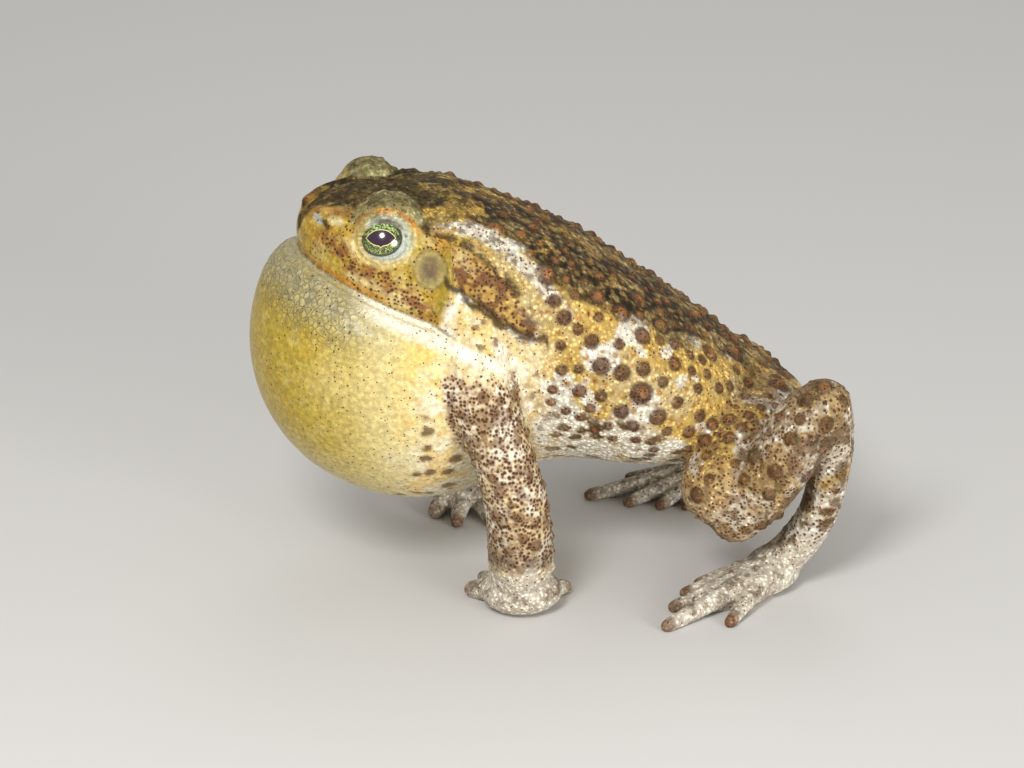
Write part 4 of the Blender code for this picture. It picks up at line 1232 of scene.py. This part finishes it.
def paint_gland(paint, arms):
    """Ochre with red-brown dots, between a dark band above it and a scalloped one below."""
    reach = [np.linalg.norm(paint.points - mirrored(GLAND_CENTRE, side), axis=1) for _, side in SIDES]
    near_middle = np.minimum(*reach)
    inside = inside_outline(paint.places, GLAND_OUTLINE) * (1 - ramp(near_middle, 16, 19))
    paint.lay(GLAND_YELLOW, inside)
    paint.lay(GLAND_CREAM, inside * paint.noise(3, 127, 0.5, 0.62) * 0.85)
    far, draw = scattered(paint.points, 1.5, 131)
    paint.lay(GLAND_RED, inside * (1 - ramp(far, 0.36, 0.48)) * (draw < 0.75) * 0.75)
    paint.lay(GLAND_RED, inside * paint.noise(2.8, 133, 0.50, 0.62) * 0.85)
    foot = paint.above(GLAND_FOOT)
    paint.lay(BACK_DARK, inside * ramp(-foot, -10, -2) * paint.noise(3, 137, 0.3, 0.5) * 0.75)
    paint.mark(inside, specks=0.9, halo=0.4, grain=0.6, rough=0.4)
    scallop = paint.fray(12, 2.6, 141)
    border = band(foot + scallop, 7) * (paint.places[:, 0] > 444) * (paint.places[:, 0] < 548)
    above_it = paint.near(GLAND_TOP, 8) * paint.noise(2.2, 143, 0.2, 0.5) * 0.9
    border = np.maximum(border * (1 - ramp(near_middle, 15, 18)), above_it)
    paint.lay(BACK_DARK, np.clip(border * 1.3, 0, 1) * 0.85 * (1 - arms))


def paint_lids_and_drums(paint):
    """Olive and cream lids with an orange edge, a grey rim and painted shade where they meet the eyeball, and
    a smooth eardrum with a dark middle and painted shade in the groove round it.
    """
    for _, side in SIDES:
        out, back_way, up = frame_of(mirrored(EYE_OUT, side), mirrored(EYE_BACK, side))
        reach = paint.points - mirrored(EYE_CENTRE, side)
        rise = reach @ up * side
        oval = np.hypot(reach @ back_way / LID_OPENING[0], rise / LID_OPENING[1])
        distance = np.linalg.norm(reach, axis=1)
        here = (reach @ out > 0) & (distance < LID_REACH)
        orbit = (paint.points - mirrored(np.add(EYE_CENTRE, ORBIT_SHIFT), side)) / ORBIT_RADII
        inner = np.maximum(ramp(orbit[:, 0] * -side, 0.22, 0.55), 1 - ramp(rise, 5.2, 6.6))
        dome = ramp(rise, 2.6, 4.2) * (1 - ramp(np.linalg.norm(orbit, axis=1), 1.02, 1.14))
        dome = dome * (0.35 + 0.65 * inner)
        paint.lay(LID_OLIVE, dome)
        paint.lay(LID_PALE, dome * paint.noise(1.6, 149, 0.4, 0.6) * 0.8)
        paint.lay(LID_BROWN, dome * paint.noise(1.1, 151, 0.56, 0.66) * 0.8)
        paint.mark(dome, specks=0.5, halo=0.2, grain=0.8)
        lid = here * (1 - ramp(oval, 1.25, 1.6)) * (1 - ramp(rise, 2.5, 4.0))
        paint.lay(LID_CREAM, lid * 0.5)
        arc = here * band(oval - 1.42, 0.18) * ramp(rise, 0.5, 2.5)
        paint.lay(ORANGE, arc * paint.noise(1.6, 153, 0.0, 0.45) * 0.8)
        paint.lay(LID_GREY, here * (1 - ramp(oval - 0.012 * (reach @ back_way), 1.05, 1.2)))
        # Painted shade in the groove where the lids meet the eyeball
        paint.lay(GROOVE_SHADE, here * (1 - ramp(oval, 0.96, 1.02)) * 0.8)
        paint.mark(np.maximum(lid, here * (oval < 1.35)), specks=0.0, rough=0.28)
        _, back_way, up = frame_of(mirrored(EAR_OUT, side), (0, 1, 0))
        reach = paint.points - mirrored(EAR_CENTRE, side)
        oval = np.hypot(reach @ back_way / EAR_RADII[0], reach @ up / EAR_RADII[1])
        close = np.linalg.norm(reach, axis=1) < EAR_REACH
        near = close * (1 - ramp(oval, 0.92, 1.04))
        paint.lay(DRUM_OLIVE, near)
        middle = near * (1 - ramp(oval, 0.2, 0.75))
        paint.lay(DRUM_DARK, middle * (0.45 + 0.55 * fractal(paint.points, 1.8, 23)))
        paint.lay(DRUM_RIM, near * band(oval - 0.86, 0.16) * 0.8)
        # Painted shade in the groove between the eardrum and its rim
        paint.lay(GROOVE_SHADE, close * band(oval - 1.04, 0.12) * 0.5)
        paint.mark(near, specks=0.0, halo=0.0, grain=0.25, rough=0.46)


def painted(points, normals, reach, small_reach):
    """The colours and the marks of the skin, each part painted over the one before it."""
    paint = Paint(points, normals, reach, small_reach)
    paint_flank(paint)
    back = paint_back(paint)
    paint_warts(paint, back)
    paint_legs(paint)
    arms = paint_arms(paint)
    paint_digits(paint)
    paint_sac(paint, arms)
    paint_head(paint)
    paint_gland(paint, arms)
    paint_lids_and_drums(paint)
    return np.clip(paint.colour, 0, 1), paint.marks


def digit_ends():
    """The tips of the fingers and of the toes."""
    ends = []
    for name, side in SIDES:
        ends += [np.array(mirrored(rows[-1], side))[:3] for rows in FINGERS]
        ends += [np.array((*foot_place(*tip, name), 1.0)) for _, tip, _ in TOES]
    return ends


def store(obj, name, values):
    """Keeps a number, or a colour, on each point of the mesh."""
    if values.ndim == 2:
        rgba = np.concatenate([values, np.ones((len(values), 1))], axis=1)
        obj.data.attributes.new(name, "FLOAT_COLOR", "POINT").data.foreach_set("color", rgba.ravel())
    else:
        obj.data.attributes.new(name, "FLOAT", "POINT").data.foreach_set("value", values)


class Shader:
    """A few helpers that add and join shader nodes."""

    def __init__(self, name):
        self.material = bpy.data.materials.new(name)
        self.material.use_nodes = True
        self.nodes = self.material.node_tree.nodes
        self.surface = self.nodes["Principled BSDF"]

    def node(self, kind, values=None, **settings):
        made = self.nodes.new(kind)
        for key, value in settings.items():
            setattr(made, key, value)
        for key, value in (values or {}).items():
            self.give(made.inputs[key], value)
        return made

    def give(self, socket, value):
        if isinstance(value, bpy.types.NodeSocket):
            self.material.node_tree.links.new(value, socket)
        else:
            socket.default_value = value

    def set(self, **values):
        for key, value in values.items():
            self.give(self.surface.inputs[key.replace("_", " ")], value)

    def kept(self, name, output="Fac"):
        return self.node("ShaderNodeAttribute", attribute_name=name).outputs[output]

    def maths(self, operation, *values):
        return self.node("ShaderNodeMath", dict(enumerate(values)), operation=operation).outputs[0]

    def times(self, first, second):
        return self.maths("MULTIPLY", first, second)

    def ramp(self, value, start, end, low=0.0, high=1.0):
        sockets = {"Value": value, "From Min": start, "From Max": end, "To Min": low, "To Max": high}
        return self.node("ShaderNodeMapRange", sockets, interpolation_type="SMOOTHSTEP").outputs[0]

    def mix(self, weight, first, second, blend_type="MIX"):
        mixer = self.node("ShaderNodeMix", data_type="RGBA", blend_type=blend_type)
        for index, value in ((0, weight), (6, first), (7, second)):
            self.give(mixer.inputs[index], (*value, 1) if isinstance(value, tuple) else value)
        return mixer.outputs[2]


def skin_material():
    """Moist skin: the kept colours, broken up by granules with painted light and shade, creases with painted
    shade, and dark specks in brown halos.
    """
    s = Shader("toad_skin")

    # Granules: painted light and shade, paler on the dome of each cell and darker between them; on some of
    # them a dark speck in a brown halo
    place = s.node("ShaderNodeTexCoord").outputs["Object"]
    grain, specks, rough = s.kept("grain"), s.kept("specks"), s.kept("rough")
    wobble = s.node("ShaderNodeTexNoise", {"Vector": place, "Scale": 900.0, "Detail": 2.0}).outputs["Fac"]
    granules = s.node("ShaderNodeTexVoronoi", {"Vector": place, "Scale": GRANULES}, feature="SMOOTH_F1")
    granules.inputs["Smoothness"].default_value = 0.35
    dots = s.node("ShaderNodeTexVoronoi", {"Vector": place, "Scale": GRANULES})
    draw = s.node("ShaderNodeSeparateColor", {"Color": dots.outputs["Color"]})
    chosen = s.maths("LESS_THAN", draw.outputs[0], specks)
    far = s.maths("MULTIPLY_ADD", s.maths("SUBTRACT", wobble, 0.5), 0.35, dots.outputs["Distance"])
    width = s.maths("MULTIPLY_ADD", draw.outputs[1], 0.17, 0.17)
    width = s.times(width, s.ramp(grain, 0.1, 0.5, 0.7, 1.0))
    width = s.maths("ADD", width, s.ramp(specks, 0.7, 1.0, 0.0, 0.12))
    dot = s.times(chosen, s.ramp(s.maths("SUBTRACT", far, width), -0.05, 0.04, 1.0, 0.0))
    halo = s.times(s.times(chosen, s.kept("halo")), s.ramp(far, 0.44, 0.72, 1.0, 0.0))
    rise = s.ramp(granules.outputs["Distance"], 0.1, 0.65, 1.0, 0.0)
    # Painted light and shade on the granules, lighter on their domes and darker between them, times a random
    # tone
    shade_and_tone = s.maths("MULTIPLY_ADD", s.maths("SUBTRACT", rise, 0.68), s.times(grain, 0.72), 1.05)
    shade_and_tone = s.times(shade_and_tone, s.ramp(wobble, 0.3, 0.7, 0.80, 1.16))
    shade_and_tone_rgb = s.node("ShaderNodeCombineColor", {0: shade_and_tone, 1: shade_and_tone, 2: shade_and_tone}).outputs[0]
    colour = s.mix(1.0, s.kept("tint", "Color"), shade_and_tone_rgb, "MULTIPLY")
    colour = s.mix(s.times(halo, 0.85), colour, HALO_BROWN)

    # Creases: the edges of larger cells, bent by noise, where the sac is creased, darkened as painted shade
    bent = s.node("ShaderNodeTexNoise", {"Vector": place, "Scale": 500.0, "Detail": 2.0}).outputs["Color"]
    bent = s.node("ShaderNodeVectorMath", {0: bent, "Scale": 1.3 * MM}, operation="SCALE").outputs[0]
    bent = s.node("ShaderNodeVectorMath", {0: place, 1: bent}, operation="ADD").outputs[0]
    cells = {"Vector": bent, "Scale": CREASE_CELLS}
    cells = s.node("ShaderNodeTexVoronoi", cells, feature="DISTANCE_TO_EDGE")
    lines = s.ramp(cells.outputs["Distance"], 0.0, 0.17, 1.0, 0.0)
    lines = s.times(lines, s.ramp(wobble, 0.35, 0.6, 0.35, 1.0))
    crease = s.times(lines, s.kept("crease"))
    # Painted shade in the sac's creases
    colour = s.mix(s.times(crease, 0.6), colour, SAC_CREASE_SHADE)
    colour = s.mix(s.times(dot, 0.9), colour, SPECK_DARK)

    # Relief and shine
    height = s.maths("MULTIPLY_ADD", rise, s.times(grain, 0.15), s.times(halo, 0.10))
    height = s.maths("MULTIPLY_ADD", wobble, 0.05, height)
    height = s.maths("MULTIPLY_ADD", crease, -0.22, height)
    bump = s.node("ShaderNodeBump", {"Height": height, "Distance": 1.0 * MM, "Strength": 0.9})
    rough_here = s.maths("ADD", rough, s.ramp(wobble, 0.3, 0.7, -0.06, 0.1))
    s.set(Base_Color=colour, Roughness=rough_here, Normal=bump.outputs[0])
    s.set(Specular_IOR_Level=SKIN_SPECULAR)
    s.set(Coat_Weight=s.ramp(rough, 0.46, 0.3, 0.0, 0.24), Coat_Roughness=0.22)
    s.set(Subsurface_Weight=0.1, Subsurface_Scale=1.0 * MM, Subsurface_Radius=(1.0, 0.5, 0.25))
    return s.material


def dress_skin():
    """The whole fine skin, with its colours and its material."""
    skin, reach, small_reach = whole_toad()
    points, normals = points_of(skin), normals_of(skin)
    colour, marks = painted(points, normals, reach, small_reach)
    for name, values in {"tint": colour, **marks}.items():
        store(skin, name, values)
    skin.data.materials.append(skin_material())
    return skin


def eye_material(name):
    """Green and gold iris veined with black, a lens-shaped pupil with a gold edge, and a grey rim."""
    s = Shader(name)
    across, rise = s.kept("across"), s.kept("rise")
    place = s.node("ShaderNodeTexCoord").outputs["Object"]
    square = s.maths("POWER", s.times(rise, 1.15), 2.0)
    far = s.maths("SQRT", s.maths("ADD", s.maths("POWER", across, 2.0), square))
    swirl = {"Vector": place, "Scale": 1500.0, "Detail": 3.0, "Distortion": 1.6}
    veins = s.node("ShaderNodeTexNoise", swirl).outputs["Fac"]
    flecks = s.node("ShaderNodeTexNoise", {"Vector": place, "Scale": 3200.0, "Detail": 2.0}).outputs["Fac"]
    iris = s.mix(s.ramp(flecks, 0.42, 0.58), IRIS_GREEN, IRIS_GOLD)
    upper = s.mix(s.ramp(flecks, 0.38, 0.6), UPPER_GREEN, UPPER_PALE)
    iris = s.mix(s.ramp(rise, 0.9, 2.8), iris, upper)
    dark = s.maths("MAXIMUM", s.ramp(veins, 0.47, 0.55), s.ramp(far, 3.5, 4.1))
    bar = s.ramp(s.maths("ABSOLUTE", across), 2.6, 3.2)
    bar = s.times(bar, s.ramp(s.maths("ABSOLUTE", rise), 0.9, 0.35))
    iris = s.mix(s.times(s.maths("MAXIMUM", dark, bar), 0.9), iris, IRIS_DARK)
    bow = s.maths("POWER", s.maths("DIVIDE", s.maths("ABSOLUTE", across), PUPIL_HALF_LENGTH), 2.4)
    notch = s.ramp(s.maths("ABSOLUTE", across), 0.45, 0.0, 0.0, 0.28)
    half = s.maths("MULTIPLY_ADD", s.maths("LESS_THAN", rise, 0.0), notch, PUPIL_HALF_HEIGHT)
    half = s.maths("SUBTRACT", half, s.times(bow, PUPIL_HALF_HEIGHT))
    inside = s.maths("SUBTRACT", half, s.maths("ABSOLUTE", rise))
    colour = s.mix(s.ramp(inside, -0.26, -0.14), iris, PUPIL_EDGE)
    colour = s.mix(s.ramp(inside, -0.1, 0.02), colour, PUPIL_DARK)
    rim = s.mix(s.ramp(flecks, 0.4, 0.6), RIM_GREY, RIM_PALE)
    colour = s.mix(s.ramp(far, 4.25, 4.5), colour, rim)
    s.set(Base_Color=colour, Roughness=0.18, Coat_Weight=1.0, Coat_Roughness=0.02, Coat_IOR=1.4)
    return s.material


def dress_eye(name, side):
    """A fine eyeball that keeps its distance backwards and upwards from the way it looks."""
    centre = mirrored(EYE_CENTRE, side)
    eye = egg(f"{name}_eyeball", centre, (EYE_RADIUS,) * 3, segments=EYEBALL_SEGMENTS)
    out, back, up = frame_of(mirrored(EYE_OUT, side), mirrored(EYE_BACK, side))
    reach = points_of(eye) - centre
    front = np.where(reach @ out > 0, 1.0, 3.0)
    store(eye, "across", (reach @ back + PUPIL_AHEAD) * front)
    store(eye, "rise", (reach @ up * side - PUPIL_UP) * front)
    return eye


def aim(obj, target):
    """Turns a light or the camera towards a place."""
    obj.rotation_mode = "QUATERNION"
    obj.rotation_quaternion = (Vector(obj.location) - Vector(target)).to_track_quat("Z", "Y")


def add_light(name, azimuth, elevation, distance, size, power):
    """A round soft light that faces the middle of the toad."""
    light = bpy.data.lights.new(name, "AREA")
    light.shape = "DISK"
    light.size, light.energy = size, power
    lamp = bpy.data.objects.new(name, light)
    bpy.context.scene.collection.objects.link(lamp)
    a, e = math.radians(azimuth), math.radians(elevation)
    way = Vector((math.sin(a) * math.cos(e), -math.cos(a) * math.cos(e), math.sin(e)))
    lamp.location = Vector(LIT_PLACE) + way * distance
    aim(lamp, LIT_PLACE)


def studio(shift):
    """A pale floor, soft light, and the camera where the photograph was taken from."""
    bpy.ops.mesh.primitive_plane_add(size=8)
    floor = bpy.context.object
    floor.name = "floor"
    paper = Shader("pale_floor")
    paper.set(Base_Color=(*FLOOR_COLOUR, 1), Roughness=0.85)
    floor.data.materials.append(paper.material)
    scene = bpy.context.scene
    world = bpy.data.worlds.new("studio")
    world.use_nodes = True
    sky = world.node_tree.nodes["Background"]
    sky.inputs["Color"].default_value = (*SKY_COLOUR, 1)
    sky.inputs["Strength"].default_value = SKY_STRENGTH
    scene.world = world
    for name, values in LIGHTS.items():
        add_light(name, *values)
    target = (Vector(LOOK_AT) + shift) * MM
    camera = bpy.data.objects.new("camera", bpy.data.cameras.new("camera"))
    scene.collection.objects.link(camera)
    camera.location = target + Vector(VIEW_BACK) * CAMERA_DISTANCE * MM
    aim(camera, target)
    camera.data.lens = PHOTO_SCALE * CAMERA_DISTANCE * camera.data.sensor_width / (2 * PHOTO_MIDDLE[0])
    camera.data.clip_start, camera.data.clip_end = 0.01, 20
    scene.camera = camera
    scene.view_settings.view_transform = "Standard"


def settle(piece, shift):
    """Moves a piece to where the part stands, and keeps the tips of its warts inside the part's own box."""
    low, high = LOADED
    moved = points_of(piece) + np.array(shift)
    place_points(piece, np.clip(moved, np.array(low) / MM, np.array(high) / MM))
    piece.data.shade_smooth()
    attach(piece, BODY)


def main():
    low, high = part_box("eye_left")
    shift = (Vector(low) + Vector(high)) / (2 * MM) - Vector(EYE_CENTRE)
    shift.z = 0
    skin = dress_skin()
    eyes = [(name, dress_eye(name, side)) for name, side in SIDES]
    for name, eye in eyes:
        eye.data.materials.append(eye_material(f"{name}_eye"))
    for piece in (skin, eyes[0][1], eyes[1][1]):
        settle(piece, shift)
    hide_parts(*[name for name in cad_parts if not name.startswith("eye")])
    for name, eye in eyes:
        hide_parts(f"eye_{name}")
    studio(shift)


main()
